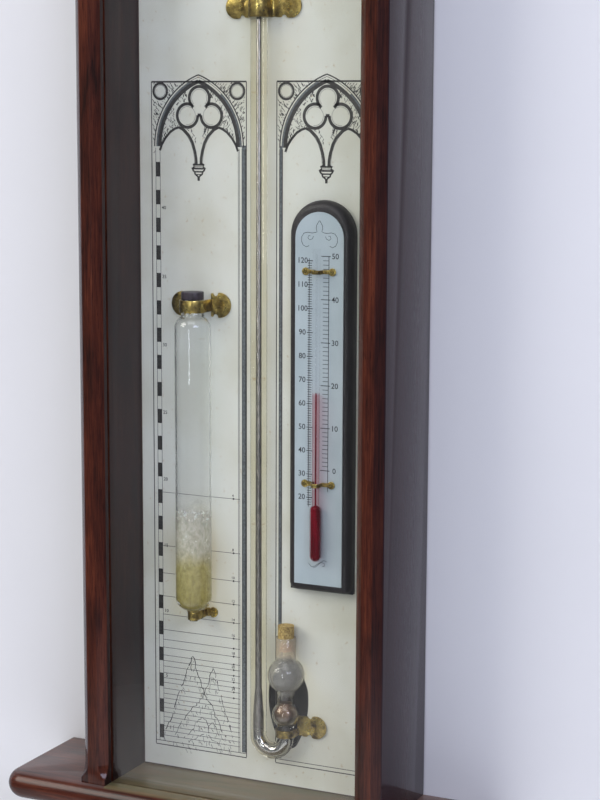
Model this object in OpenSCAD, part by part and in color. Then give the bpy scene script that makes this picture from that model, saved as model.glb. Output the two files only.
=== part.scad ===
// Weather instrument in a glazed mahogany wall case: siphon barometer,
// storm glass and thermometer. Millimetres, +Z up, -Y front, the wall is Y = 0.
// Heights in the source are measured from the shelf top; placed() moves them
// so that the origin is the hole of the hanging plate.

/* [Case] */
// outer width over the two side boards
case_w = 200; // [190:1:240]
// depth from the front of the side boards to the wall
case_d = 72; // [70:1:90]
// thickness of the side boards
board_t = 17; // [14:0.5:20]
// clear height between the shelf and the top board
inner_h = 915; // [905:1:960]
// width of the chamfer on the side boards' front corners
chamfer = 5.1; // [3:0.1:6]
// height at which the chamfer starts above the shelf
stop_z = 13; // [10:0.5:24]
// radius of the scooped stop at the end of a chamfer
stop_r = 15; // [8:0.5:16]
// thickness of the back board
back_t = 10; // [8:0.5:11]
// space between the wall and the back board
back_gap = 12; // [10:0.5:14]

/* [Shelf and top] */
// thickness of the base shelf
shelf_t = 17; // [14:0.5:22]
// how far the shelf stands out past each side board
shelf_side = 56; // [30:1:70]
// how far a rounded nose stands out past its flat top
nose_d = 6; // [3:0.5:7]
// corner radius of the shelf in plan, from its outermost line
shelf_corner = 13; // [10:0.5:20]
// thickness of the top board
top_t = 17; // [14:0.5:22]
// how far the top board stands out past each side board
top_side = 18; // [14:1:30]
// height of the gabled board on the top
pediment_h = 84; // [70:1:110]
// thickness of the gabled board
pediment_t = 16; // [12:0.5:18]
// height of the gabled board at its two ends
pediment_end_h = 26; // [18:1:34]
// diameter of the round opening in the gabled board
roundel_d = 26; // [16:1:32]

/* [Front glass] */
// thickness of the glass
glass_t = 3; // [2:0.1:4]
// distance of the glass behind the front of the side boards
glass_set = 8.1; // [6.5:0.1:10]
// depth of the grooves that hold the glass
groove_d = 4; // [3:0.1:6]
// clearance of the glass in its grooves, on each side
glass_clear = 0.25; // [0.15:0.05:0.5]
// how far the glass stands above the top board, to lift it by
glass_grip = 6; // [4:0.5:12]

/* [Charts] */
// thickness of the printed sheets
chart_t = 0.5; // [0.3:0.1:1]
// height of the line where the lower and upper sheet meet
chart_joint_z = 474.5; // [460:0.5:490]
// gap between a sheet and the woodwork round it
chart_gap = 1; // [0.5:0.1:3]

/* [Barometer tube] */
// outer diameter of the tube
tube_d = 10.2; // [8.4:0.1:10.6]
// bore of the long tube
bore_d = 2.4; // [1.6:0.1:3]
// sideways position of the long leg
tube_x = 2.2; // [-2:0.1:3]
// distance between the long and the short leg
leg_gap = 18.6; // [17.6:0.1:20]
// height of the centre of the bend
bend_z = 33.7; // [30:0.1:36]
// gap between the tube and the chart
tube_gap = 1.4; // [1.3:0.1:2.2]
// diameter of the lower bulb
low_bulb_d = 17; // [14:0.5:18]
// height of the lower bulb's centre above the centre of the bend
low_bulb_rise = 14.9; // [14.4:0.1:16.2]
// diameter of the upper bulb
up_bulb_d = 22.4; // [19:0.1:23]
// distance between the centres of the two bulbs
bulb_pitch = 24.7; // [23.5:0.1:26]
// wall of the bulbs and of the mouth
bulb_wall = 1.2; // [0.8:0.1:1.4]
// outer diameter of the neck and the mouth
neck_d = 12.4; // [11.6:0.1:13]
// diameter of the waist between the bulbs
waist_d = 10.6; // [9:0.1:11.4]
// height of the mouth above the upper bulb's centre
mouth_rise = 23.7; // [21:0.1:29]
// space between the sealed top of the long leg and the top board
tube_top_gap = 31; // [25:1:40]
// thickness of the glass at the sealed top
tube_cap = 4; // [2:0.5:5]
// height of the mercury in the short leg above the lower bulb's centre
level_rise = 7.4; // [6.4:0.1:8]
// reading of the mercury column in inches
reading_in = 29.5; // [28.5:0.1:30.5]
// height of the cork above the mouth
cork_out = 7.5; // [6:0.5:12]
// depth of the cork in the mouth
cork_in = 8; // [5:0.5:9]
// clearance of the cork in the mouth, on the radius
cork_clear = 0.05; // [0.02:0.01:0.1]

/* [Cistern well] */
// room between the upper bulb and each long side of the well
well_side_gap = 2.3; // [1.6:0.1:3]
// how far the well's middle lies beside the short leg, towards the long one
well_aside = 1.3; // [0:0.1:1.6]
// room in the well above the upper bulb
well_high_gap = 4.1; // [2:0.1:6]
// room in the well below the lower bulb
well_low_gap = 15.5; // [12:0.1:16]
// radius of the well's two ends
well_end_r = 7; // [6:0.5:9]
// wall of the well
well_wall = 1.2; // [0.8:0.1:1.6]
// depth of the well below the chart
well_deep = 16; // [14:0.5:18]

/* [Tube clips] */
// thickness of the sheet brass of the clips
clip_t = 1.1; // [0.8:0.1:1.3]
// height of the bands over the long leg
clip_h = 13; // [9:0.5:15]
// radius of the round outer lobes
lobe_r = 7; // [6.5:0.1:8]
// distance of the outer lobe from the middle of a clip
lobe_x = 17.6; // [17.5:0.1:19]
// distance of the upper clip's middle below the tube's sealed top
clip_hi_drop = 18; // [14:1:22]
// height of the middle of the middle clip
clip_mid_z = 474; // [464:1:484]
// height of the band of the cistern clip
cistern_band_h = 4.6; // [3.6:0.1:5]
// height of the cistern clip's band above the centre of the bend
cistern_clip_rise = 3.4; // [3:0.1:3.8]

/* [Storm glass] */
// outer diameter of the storm glass
storm_d = 22.4; // [18:0.1:24]
// sideways position of the storm glass
storm_x = -39.8; // [-44:0.1:-38]
// height of the flat bottom of the storm glass
storm_z = 108.6; // [106:0.1:114]
// height of the storm glass from its flat bottom to its shoulder
storm_h = 183; // [170:0.1:186]
// wall of the storm glass
storm_wall = 1.2; // [0.8:0.1:1.8]
// outer diameter of the neck
storm_neck_d = 13.6; // [12:0.1:15]
// length of the neck above the shoulder
storm_neck_h = 9.4; // [9:0.1:17]
// diameter of the solid tail at the bottom
storm_tail_d = 5.2; // [4:0.1:6.4]
// length of the tail
storm_tail_h = 7; // [6.5:0.5:9]
// height of the cap above the neck
storm_cap_h = 4.6; // [4:0.1:8]
// distance of the liquid's top below the shoulder
storm_air = 23.6; // [12:0.1:60]
// depth of the clear liquid under the crystals
crystal_rise = 31.4; // [20:0.1:40]
// height of the band of crystals
crystal_h = 38; // [20:1:60]

/* [Thermometer] */
// width of the thermometer's board
thermo_w = 41; // [39:0.5:44]
// thickness of the thermometer's board
thermo_t = 8; // [7:0.5:10]
// radius of the rounded front edge of the board
thermo_edge = 5; // [3:0.5:5]
// sideways position of the board's middle
thermo_x = 42.7; // [40:0.1:43]
// height of the board's bottom
thermo_z = 127.5; // [124:0.5:130]
// height of the board from its bottom to its round top
thermo_h = 234.5; // [228:0.5:240]
// thickness of the scale plate
plate_t = 0.6; // [0.4:0.1:1]
// outer diameter of the thermometer tube
thermo_tube_d = 4.4; // [3.6:0.1:5]
// outer diameter of its bulb
thermo_bulb_d = 7; // [5.2:0.1:7.4]
// temperature shown, in degrees Fahrenheit
thermo_read_f = 65; // [30:1:110]

/* [Set pointers] */
// distance of the knobs and pinions below the top board
knob_drop = 225; // [222:1:232]
// height of the pointers above the knobs
pointer_rise = 115.3; // [108:0.1:118]
// length of a rack below its pinion
rack_below = 90; // [84:1:96]
// distance of a rack from the long leg's middle
rack_x = 12; // [11.4:0.1:13]
// width of a rack
rack_w = 4; // [3.4:0.1:4.6]
// thickness of a rack's strip behind its teeth
rack_t = 2.4; // [2:0.1:3]
// module of the teeth
gear_m = 1; // [0.9:0.05:1]
// number of teeth on a pinion
pinion_n = 12; // [12:1:13]
// diameter of the pinion shafts
shaft_d = 4; // [3:0.1:4.2]
// running clearance of the shafts, on the radius
shaft_clear = 0.05; // [0.03:0.01:0.1]
// diameter of the knobs
knob_d = 18; // [14:0.5:26]
// length of the knobs
knob_l = 12; // [9:0.5:18]
// clearance of the racks in their guides
slide_clear = 0.25; // [0.15:0.05:0.35]

/* [Hanging plate] */
// thickness of the hanging plate
plate_hang_t = 2.5; // [2:0.1:3]
// width of the hanging plate
plate_hang_w = 24; // [20:1:28]
// diameter of the hole for the wall screw
hang_hole_d = 6; // [4.5:0.1:7]
// height of the hole above the tip of the gabled board
hang_rise = 10; // [8:0.5:14]

/* [Screws] */
// radius of the heads of the small brass screws
head_r = 2.5; // [2.2:0.1:2.8]
// radius of the shanks of the small brass screws
shank_r = 1.1; // [0.9:0.1:1.3]
// radius of the heads of the wood screws
wood_head_r = 4; // [3:0.1:4.4]
// radius of the shanks of the wood screws
wood_shank_r = 1.8; // [1.4:0.1:2.2]

/* [Hidden] */
$fn = 64;
EPS = 0.01;
// how far a cut runs past the face it opens
CUT = 1;
// clearance of a screw in its hole
SCREW_FIT = 0.05;
// clearance of a clip round its tube
CLIP_FIT = 0.1;
// clearance of a filling in its glass
FILL_FIT = 0.02;
INCH = 25.4;

half_w = case_w / 2;
inner_half = half_w - board_t;
back_front = back_gap + back_t;
chart_front = back_front + chart_t;
tube_y = chart_front + tube_gap + tube_d / 2;
short_x = tube_x + leg_gap;
bend_r = leg_gap / 2;
low_bulb_z = bend_z + low_bulb_rise;
up_bulb_z = low_bulb_z + bulb_pitch;
mouth_z = up_bulb_z + mouth_rise;
level_z = low_bulb_z + level_rise;
tube_top_z = inner_h - tube_top_gap;
// in a tube too short for the reading the mercury fills the bore
column_z = min(level_z + reading_in * INCH, tube_top_z - tube_cap);
well_low_z = low_bulb_z - low_bulb_d / 2 - well_low_gap;
well_high_z = up_bulb_z + up_bulb_d / 2 + well_high_gap;
well_w = up_bulb_d + 2 * well_side_gap;
well_h = well_high_z - well_low_z;
well_z = (well_low_z + well_high_z) / 2;
clip_hi_z = tube_top_z - clip_hi_drop;
cistern_clip_z = bend_z + cistern_clip_rise;
knob_z = inner_h - knob_drop;
glass_back = case_d - glass_set - glass_t;
glass_h = inner_h + top_t + glass_grip;
tip_z = inner_h + top_t + pediment_h;
hang_z = tip_z + hang_rise;
shelf_half = half_w + shelf_side;
top_half = half_w + top_side;

// clip measures shared by the clips and their screws
band_in = tube_d / 2 + CLIP_FIT;
clip_screw_in = 2.2;
clip_screw_x = lobe_x - clip_screw_in;
clip_front = chart_front + clip_t;
inner_lobe_in = 7.4;
cistern_ear_rise = 3.6;
cistern_ear_z = cistern_clip_z + cistern_ear_rise;
cistern_lobe_out = 0;
cistern_tab = 1.2;
bulb_clear = 0.5;
// how an ear's inner lobe and its bar are smaller than its outer lobe
ear_less = 0.5;
ear_bar_less = 0.9;
ear_notch_in = 0.3;

// storm glass
storm_r = storm_d / 2;
storm_gap = 0.5;
storm_y = chart_front + storm_gap + storm_r;
storm_top_z = storm_z + storm_h;
storm_mouth_z = storm_top_z + storm_neck_h;
storm_level_z = storm_top_z - storm_air;
crystal_low_z = storm_z + crystal_rise;
crystal_top_z = crystal_low_z + crystal_h;
storm_plug = 5;
storm_clip_drop = 0.4;
storm_inner_lobe_in = 4.6;
small_inner_lobe_in = 3.2;
storm_neck_r = storm_neck_d / 2;
storm_round = 8;
storm_clip_h = 7.4;
storm_clip_z = storm_mouth_z - storm_clip_drop - storm_clip_h / 2;
storm_lobe_r = 7.6;
storm_lobe_x = 12.6;
storm_tail_clip_h = 5;
storm_tail_clip_z = storm_z - storm_tail_h / 2;
small_lobe_r = 3.2;
small_lobe_x = 7.6;

// thermometer
thermo_r = thermo_w / 2;
thermo_front = chart_front + thermo_t;
plate_front = thermo_front + plate_t;
plate_r = thermo_r - thermo_edge;
thermo_bulb_rise = 20;
thermo_bulb_z = thermo_z + thermo_bulb_rise;
thermo_bulb_h = 35;
thermo_tube_gap = 0.2;
thermo_tube_y = plate_front + thermo_bulb_d / 2 + thermo_tube_gap;
thermo_top_gap = 23.5;
thermo_tube_top = thermo_z + thermo_h - thermo_top_gap;
thermo_cap = 3;
// height of the mark of 20 degrees above the bulb, and of one degree
thermo_f20_rise = 3.1;
thermo_f20 = 20;
thermo_f20_z = thermo_bulb_z + thermo_bulb_h + thermo_f20_rise;
thermo_per_f = 1.412;
thermo_spirit_z = thermo_f20_z
    + (thermo_read_f - thermo_f20) * thermo_per_f;
thermo_clip_drop = 18;
thermo_clip_rise = 11.5;
thermo_clip_z = [thermo_tube_top - thermo_clip_drop,
    thermo_bulb_z + thermo_bulb_h + thermo_clip_rise];
thermo_clip_h = 2.4;
thermo_clip_t = 0.7;
thermo_pin_x = 8.6;
thermo_pin_r = 0.5;
thermo_pin_head_r = 1.1;
thermo_pin_head_h = 0.6;
thermo_pin_l = 4;
thermo_pin_extra = 0.5;
thermo_lobe_r = 2.3;
thermo_tube_off = 0;
thermo_tube_x = thermo_x - thermo_tube_off;
thermo_bore_r = 0.45;
thermo_wall = 0.6;
thermo_inner_r = thermo_bulb_d / 2 - thermo_wall;
thermo_screw_low = 30;
thermo_screw_high = 29.5;
thermo_screw_z = [thermo_z + thermo_screw_low,
    thermo_z + thermo_h - thermo_screw_high];
thermo_screw_deep = 4.5;
thermo_hole_extra = 0.5;

// rack and pinion
pitch_r = gear_m * pinion_n / 2;
rack_add = 0.7 * gear_m;
rack_ded = 1.1 * gear_m;
pinion_add = 0.8 * gear_m;
pinion_ded = 0.95 * gear_m;
backlash = 0.12;
press_a = 20;
tooth_steps = 6;
rack_gap = 0.4;
rack_back = chart_front + rack_gap;
rack_pitch = rack_back + rack_t + rack_ded;
rack_tip = rack_pitch + rack_add;
shaft_y = rack_pitch + pitch_r;
shaft_r = shaft_d / 2;
pinion_extra = 1;
pinion_w = rack_w + pinion_extra;
tooth_p = PI * gear_m;
rack_low_z = knob_z - rack_below;
rack_plain = 34;
pointer_z = knob_z + pointer_rise;
pointer_over = 2;
rack_top_z = pointer_z - pointer_over;
pointer_half = 3;
pointer_grip = 6;
pointer_cap = 1.4;
pointer_side = 1;
pointer_t = 1.2;
pointer_gap = 1;
pointer_tip = 0.3;
bush_wall = 2;
bush_r = shaft_r + bush_wall;
bush_flange = 2.5;
bush_flange_r = bush_r + bush_flange;
bush_flange_t = 1.5;
bracket_t = 1.5;
bracket_gap = 0.5;
bracket_half = 5;
bracket_foot = 10.5;
bracket_screw_in = 6.5;
guide_t = 1;
guide_h = 6;
guide_below = 62;
guide_above = 38;
guide_z = [knob_z - guide_below, knob_z + guide_above];
guide_foot = 8;
shaft_end = 0.5;
knob_gap = 0.4;
knob_neck_l = 3;
knob_neck_in = 4;
knob_cap = 3;

// screws
slot_w = 0.7;
slot_d = 0.6;
head_h = 1.3;
head_edge = 0.5;
small_l = 8;
hole_extra = 0.5;
wood_l = 30;
wood_head_h = 2.4;
wood_slot_d = 0.8;
frame_screw_sink = 4;
frame_screw_back = 18;
frame_screw_front = 24;
flat_head_h = 2;
flat_head_sink = 0.2;

// top board, gabled board and hanging plate
top_corner_more = 4;
pediment_inset = 6;
pediment_step = 14;
roundel_rise = 35.3;
roundel_ring = 4;
roundel_sink = 2;
plate_drop = 22;
hang_screw_low = 16;
hang_screw_high = 6;
hang_screw_z = [tip_z - hang_screw_low, tip_z - hang_screw_high];
hang_screw_l = 9;
hang_head_r = 3.4;
hang_head_in = 1;

module placed() {
    translate([0, 0, -hang_z]) children();
}

// a box given by its low and high corner, with y counted from the wall
module slab(x0, x1, y0, y1, z0, z1) {
    translate([x0, -y1, z0]) cube([x1 - x0, y1 - y0, z1 - z0]);
}

// a bar along the front-to-back direction, y counted from the wall
module along_y(x, z, y0, y1, r) {
    translate([x, -y0, z]) rotate([90, 0, 0]) cylinder(r = r, h = y1 - y0);
}

// a bar along the left-to-right direction
module along_x(y, z, x0, x1, r) {
    translate([x0, -y, z]) rotate([0, 90, 0]) cylinder(r = r, h = x1 - x0);
}

// a flat drawing in x and z, given depth, y counted from the wall
module upright(y0, y1) {
    translate([0, -y0, 0]) rotate([90, 0, 0])
        linear_extrude(y1 - y0) children();
}

// ---- screws

module round_screw(x, z, y, l) {
    difference() {
        union() {
            along_y(x, z, y, y + head_h / 2, head_r);
            along_y(x, z, y, y + head_h, head_r - head_edge);
            along_y(x, z, y - l, y + EPS, shank_r);
        }
        slab(x - head_r, x + head_r, y + head_h - slot_d, y + head_h + CUT,
            z - slot_w / 2, z + slot_w / 2);
    }
}

module round_screw_hole(x, z, y, l) {
    along_y(x, z, y - l - hole_extra, y + CUT, shank_r + SCREW_FIT);
}

// positions of the small brass screws: x, z and the face under the head
tube_screws = [
    [tube_x - clip_screw_x, clip_hi_z, clip_front],
    [tube_x + clip_screw_x, clip_hi_z, clip_front],
    [tube_x - clip_screw_x, clip_mid_z, clip_front],
    [tube_x + clip_screw_x, clip_mid_z, clip_front],
    [short_x + clip_screw_x + cistern_lobe_out, cistern_ear_z,
        clip_front]
];
storm_screws = [
    [storm_x - storm_lobe_x, storm_clip_z, clip_front],
    [storm_x + storm_lobe_x, storm_clip_z, clip_front]
];
storm_small_screws = [
    [storm_x - small_lobe_x, storm_tail_clip_z, clip_front],
    [storm_x + small_lobe_x, storm_tail_clip_z, clip_front]
];
guide_side = [-1, 1];
bracket_screw_x = rack_x + pinion_w / 2 + bracket_gap
    + bracket_screw_in;
guide_screw_x = rack_x + rack_w / 2 + slide_clear + guide_t
    + guide_foot / 2;

module board_screw_holes() {
    for (p = concat(tube_screws, storm_screws)) {
        round_screw_hole(p[0], p[1], p[2], small_l);
    }
    for (p = storm_small_screws) {
        round_screw_hole(p[0], p[1], p[2], small_l);
    }
    for (s = guide_side) {
        round_screw_hole(tube_x + s * bracket_screw_x, knob_z,
            chart_front + bracket_t, small_l);
        for (z = guide_z) {
            round_screw_hole(tube_x + s * guide_screw_x, z,
                chart_front + guide_t, small_l);
        }
    }
    for (z = thermo_screw_z) {
        along_y(thermo_x, z, back_gap - CUT, chart_front + CUT,
            wood_shank_r + SCREW_FIT);
        along_y(thermo_x, z, back_gap - CUT,
            back_gap + flat_head_h + flat_head_sink,
            wood_head_r + SCREW_FIT);
    }
}

// ---- case

// what a chamfer along a front corner takes away; the corner is the z axis
// and the wood lies towards +x and +y
module chamfer_cut(z0, z1) {
    c = chamfer;
    translate([0, 0, z0]) linear_extrude(z1 - z0)
        polygon([[-CUT, -CUT], [c + CUT, -CUT], [-CUT, c + CUT]]);
    intersection() {
        translate([-CUT, -CUT, z0 - stop_r]) cube([c + 3 * CUT,
            c + 3 * CUT, z1 - z0 + 2 * stop_r]);
        for (z = [z0, z1]) {
            translate([c / 2, c / 2, z]) rotate([0, 0, 45])
                translate([-stop_r, 0, 0]) rotate([90, 0, 0])
                    cylinder(r = stop_r, h = 4 * c, center = true);
        }
    }
}

module side_board() {
    difference() {
        slab(inner_half, half_w, 0, case_d, 0, inner_h);
        // groove for the glass
        slab(inner_half - CUT, inner_half + groove_d,
            glass_back - glass_clear, glass_back + glass_t + glass_clear,
            -CUT, inner_h + CUT);
        translate([inner_half, -case_d, 0])
            chamfer_cut(stop_z, inner_h - stop_z);
        translate([half_w, -case_d, 0]) mirror([1, 0, 0])
            chamfer_cut(stop_z, inner_h - stop_z);
        along_x(shaft_y, knob_z, inner_half - CUT, half_w + CUT,
            bush_r + SCREW_FIT);
        case_screw_holes(1);
    }
}

// wood screws that hold the shelf and the top board to the side boards
frame_screw_y = [frame_screw_back, case_d - frame_screw_front];
side_mid = half_w - board_t / 2;

module wood_screw(l) {
    translate([0, 0, -wood_head_h / 2])
        cylinder(r = wood_shank_r, h = l);
    difference() {
        translate([0, 0, -wood_head_h])
            cylinder(r = wood_head_r, h = wood_head_h);
        translate([-wood_head_r, -slot_w / 2, -wood_head_h - CUT])
            cube([2 * wood_head_r, slot_w, CUT + wood_slot_d]);
    }
}

module wood_screw_hole(l) {
    translate([0, 0, -wood_head_h / 2])
        cylinder(r = wood_shank_r + SCREW_FIT, h = l + hole_extra);
    translate([0, 0, -shelf_t]) cylinder(r = wood_head_r + SCREW_FIT,
        h = shelf_t);
}

// screws go up from under the shelf and down from above the top board
module frame_spot(s, y, top) {
    translate([s * side_mid, -y, top
        ? inner_h + top_t - frame_screw_sink
        : -shelf_t + frame_screw_sink])
        mirror([0, 0, top ? 1 : 0]) children();
}

module case_screw_holes(s) {
    for (y = frame_screw_y) {
        frame_spot(s, y, false) wood_screw_hole(wood_l);
        frame_spot(s, y, true) wood_screw_hole(wood_l);
    }
}

module left_side_board() {
    placed() color("#4a241b") mirror([1, 0, 0]) side_board();
}

module right_side_board() {
    placed() color("#4a241b") side_board();
}

// the oval of the cistern well, made of two flat arcs and two end arcs
module oval(w, h, r) {
    a = w / 2;
    k = h / 2 - r;
    flat_r = (a * a - r * r + k * k) / (2 * (a - r));
    side = flat_r - a;
    tangent = k * flat_r / (flat_r - r);
    union() {
        intersection() {
            translate([-side, 0]) circle(r = flat_r, $fn = 128);
            translate([side, 0]) circle(r = flat_r, $fn = 128);
            translate([-a, -tangent]) square([w, 2 * tangent]);
        }
        for (s = [-1, 1]) {
            translate([0, s * k]) circle(r = r);
        }
    }
}

module well_outline(extra) {
    translate([short_x - well_aside, well_z])
        oval(well_w + 2 * extra, well_h + 2 * extra, well_end_r + extra);
}

module back_board() {
    placed() color("#5a3a28") difference() {
        slab(-inner_half, inner_half, back_gap, back_front, 0, inner_h);
        upright(back_gap - CUT, back_front + CUT)
            well_outline(SCREW_FIT);
        board_screw_holes();
    }
}

// the section of a rounded nose: x is how far it stands out, y is up
module nose_2d(t) {
    nose_r = (t * t / 4 + nose_d * nose_d) / (2 * nose_d);
    intersection() {
        translate([nose_d - nose_r, t / 2]) circle(r = nose_r, $fn = 96);
        square([nose_d + CUT, t]);
    }
}

// a board with a rounded nose on its front and both ends, top at z = 0
module nosed_board(half, depth, t, corner) {
    flat = corner - nose_d;
    core = half - nose_d;
    front = depth;
    translate([0, 0, -t]) {
        slab(-core, core, 0, front - flat, 0, t);
        slab(-core + flat, core - flat, front - flat - CUT, front, 0, t);
        for (s = [-1, 1]) {
            translate([s * (core - flat), -(front - flat), 0]) {
                cylinder(r = flat, h = t);
                rotate([0, 0, s > 0 ? -90 : 180])
                    rotate_extrude(angle = 90, $fn = 96)
                        translate([flat, 0]) nose_2d(t);
            }
        }
        translate([-core + flat, -front, 0]) rotate([90, 0, 90])
            linear_extrude(2 * (core - flat)) mirror([1, 0]) nose_2d(t);
        for (s = [0, 1]) {
            mirror([s, 0, 0]) translate([core, 0, 0]) rotate([90, 0, 0])
                linear_extrude(front - flat) nose_2d(t);
        }
    }
}

module base_shelf() {
    placed() color("#6b3322") difference() {
        nosed_board(shelf_half, case_d, shelf_t, shelf_corner);
        for (s = [-1, 1]) {
            case_screw_holes(s);
        }
    }
}

module top_board() {
    placed() color("#5b2c1f") difference() {
        translate([0, 0, inner_h + top_t])
            nosed_board(top_half, case_d, top_t,
                nose_d + top_corner_more);
        slab(-inner_half - groove_d, inner_half + groove_d,
            glass_back - glass_clear, glass_back + glass_t + glass_clear,
            inner_h - CUT, inner_h + top_t + CUT);
        for (s = [-1, 1]) {
            case_screw_holes(s);
        }
    }
}

module pediment() {
    base = inner_h + top_t;
    w = half_w - pediment_inset;
    y0 = plate_hang_t;
    y1 = y0 + pediment_t;
    roundel_z = base + roundel_rise;
    placed() color("#5b2c1f") difference() {
        upright(y0, y1) polygon([[-w, base], [w, base],
            [w, base + pediment_end_h],
            [w - pediment_step, base + pediment_end_h],
            [plate_hang_w / 2, tip_z], [-plate_hang_w / 2, tip_z],
            [-w + pediment_step, base + pediment_end_h],
            [-w, base + pediment_end_h]]);
        // round opening with a sunk ring in front
        along_y(0, roundel_z, y0 - CUT, y1 + CUT, roundel_d / 2);
        along_y(0, roundel_z, y1 - roundel_sink, y1 + CUT,
            roundel_d / 2 + roundel_ring);
        for (z = hang_screw_z) {
            along_y(0, z, y0 - CUT, y0 + hang_screw_l + hole_extra,
                wood_shank_r + SCREW_FIT);
        }
    }
}

// ---- hanging plate

module hanging_plate() {
    r = plate_hang_w / 2;
    placed() color("#a8894a") difference() {
        union() {
            slab(-r, r, 0, plate_hang_t, tip_z - plate_drop, hang_z);
            along_y(0, hang_z, 0, plate_hang_t, r);
        }
        along_y(0, hang_z, -CUT, plate_hang_t + CUT, hang_hole_d / 2);
        for (z = hang_screw_z) {
            along_y(0, z, -CUT, plate_hang_t + CUT,
                wood_shank_r + SCREW_FIT);
            along_y(0, z, -CUT, plate_hang_t - hang_head_in,
                hang_head_r + SCREW_FIT);
        }
    }
}

module hanging_plate_screws() {
    placed() color("#b89a55") for (z = hang_screw_z) {
        along_y(0, z, flat_head_sink, plate_hang_t - hang_head_in,
            hang_head_r);
        along_y(0, z, plate_hang_t - hang_head_in - EPS,
            plate_hang_t + hang_screw_l, wood_shank_r);
    }
}

module shelf_screws() {
    placed() color("#8c7a52") for (s = [-1, 1]) {
        for (y = frame_screw_y) {
            frame_spot(s, y, false) wood_screw(wood_l);
        }
    }
}

module top_board_screws() {
    placed() color("#8c7a52") for (s = [-1, 1]) {
        for (y = frame_screw_y) {
            frame_spot(s, y, true) wood_screw(wood_l);
        }
    }
}

// ---- glass and charts

module front_glass() {
    x = inner_half + groove_d - glass_clear;
    placed() color("#cfe0e2", 0.25)
        slab(-x, x, glass_back, glass_back + glass_t, 0, glass_h);
}

module chart(z0, z1) {
    x = inner_half - chart_gap;
    difference() {
        slab(-x, x, back_front, chart_front, z0, z1);
        upright(back_front - CUT, chart_front + CUT)
            well_outline(SCREW_FIT);
        board_screw_holes();
    }
}

module lower_chart() {
    placed() color("#cfcfca") chart(chart_gap, chart_joint_z);
}

module upper_chart() {
    placed() color("#cfcfca") chart(chart_joint_z, inner_h - chart_gap);
}

module cistern_well() {
    placed() color("#1d1d1f") difference() {
        upright(chart_front - well_deep, chart_front)
            well_outline(0);
        upright(chart_front - well_deep + well_wall, chart_front + CUT)
            well_outline(-well_wall);
    }
}

// ---- barometer tube

// outside (grow = 0) or inside of the short leg, turned about its own axis
module bulb_stack(r_tube, r_low, r_waist, r_up, r_neck) {
    neck_low = up_bulb_z + sqrt(r_up * r_up - r_neck * r_neck) - EPS;
    translate([short_x, -tube_y, 0]) {
        translate([0, 0, bend_z - EPS])
            cylinder(r = r_tube, h = low_bulb_z - bend_z);
        translate([0, 0, low_bulb_z]) sphere(r = r_low);
        translate([0, 0, low_bulb_z])
            cylinder(r = r_waist, h = up_bulb_z - low_bulb_z);
        translate([0, 0, up_bulb_z]) sphere(r = r_up);
        translate([0, 0, neck_low])
            cylinder(r = r_neck, h = mouth_z - neck_low);
    }
}

module long_leg(r, z1) {
    translate([tube_x, -tube_y, bend_z - EPS])
        cylinder(r = r, h = z1 - bend_z);
}

module bend(r) {
    translate([tube_x + bend_r, -tube_y, bend_z]) rotate([90, 0, 0])
        rotate([0, 0, 180]) rotate_extrude(angle = 180)
            translate([bend_r, 0]) circle(r = r);
}

bore_r = bore_d / 2;
mouth_r = neck_d / 2 - bulb_wall;

// the inside of the short leg, grown or shrunk
module short_bore(grow) {
    bulb_stack(bore_r + grow, low_bulb_d / 2 - bulb_wall + grow,
        waist_d / 2 - bulb_wall + grow,
        up_bulb_d / 2 - bulb_wall + grow, mouth_r + grow);
}

module barometer_tube() {
    r = tube_d / 2;
    placed() color("#cfd8d6", 0.4) difference() {
        union() {
            long_leg(r, tube_top_z - r);
            translate([tube_x, -tube_y, tube_top_z - r]) sphere(r = r);
            bend(r);
            bulb_stack(r, low_bulb_d / 2, waist_d / 2, up_bulb_d / 2,
                neck_d / 2);
        }
        union() {
            long_leg(bore_r, tube_top_z - tube_cap);
            bend(bore_r);
            short_bore(0);
        }
        translate([short_x, -tube_y, mouth_z - CUT])
            cylinder(r = mouth_r, h = 2 * CUT);
    }
}

module mercury() {
    placed() color("#8d8f93") union() {
        long_leg(bore_r - FILL_FIT, column_z);
        bend(bore_r - FILL_FIT);
        intersection() {
            short_bore(-FILL_FIT);
            slab(short_x - up_bulb_d, short_x + up_bulb_d, 0, case_d,
                bend_z - CUT, level_z);
        }
    }
}

module cistern_stopper() {
    r = mouth_r - cork_clear;
    placed() color("#b08a54") translate([short_x, -tube_y, 0]) {
        translate([0, 0, mouth_z - cork_in])
            cylinder(r = r, h = cork_in + cork_out);
    }
}

// ---- clips

// one ear with two round lobes, flat on the chart; s is its side
module ear_2d(x, z, s, r, x_out, x_in, bar) {
    notch_x = (x_out + x_in) / 2 - ear_notch_in;
    translate([x, z]) mirror([s < 0 ? 1 : 0, 0]) difference() {
        union() {
            translate([x_out, 0]) circle(r = r);
            translate([x_in, 0]) circle(r = r - ear_less);
            translate([bar, -r + ear_bar_less])
                square([x_in - bar, 2 * (r - ear_bar_less)]);
        }
        for (side = [-1, 1]) {
            translate([notch_x, side * r * 0.96]) circle(r = r * 0.24);
        }
        // the part under the band is cut off straight
        translate([bar - 2 * x_out, -2 * r])
            square([2 * x_out, 4 * r]);
    }
}

// a band over a tube: x and y of the tube, middle height, inner radius
module band(x, y, z, r_in, h) {
    r_out = r_in + clip_t;
    difference() {
        union() {
            translate([x, -y, z - h / 2]) cylinder(r = r_out, h = h);
            slab(x - r_out, x + r_out, chart_front, y, z - h / 2,
                z + h / 2);
        }
        translate([x, -y, z - h / 2 - CUT])
            cylinder(r = r_in, h = h + 2 * CUT);
        slab(x - r_in, x + r_in, chart_front - CUT, y,
            z - h / 2 - CUT, z + h / 2 + CUT);
    }
}

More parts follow.
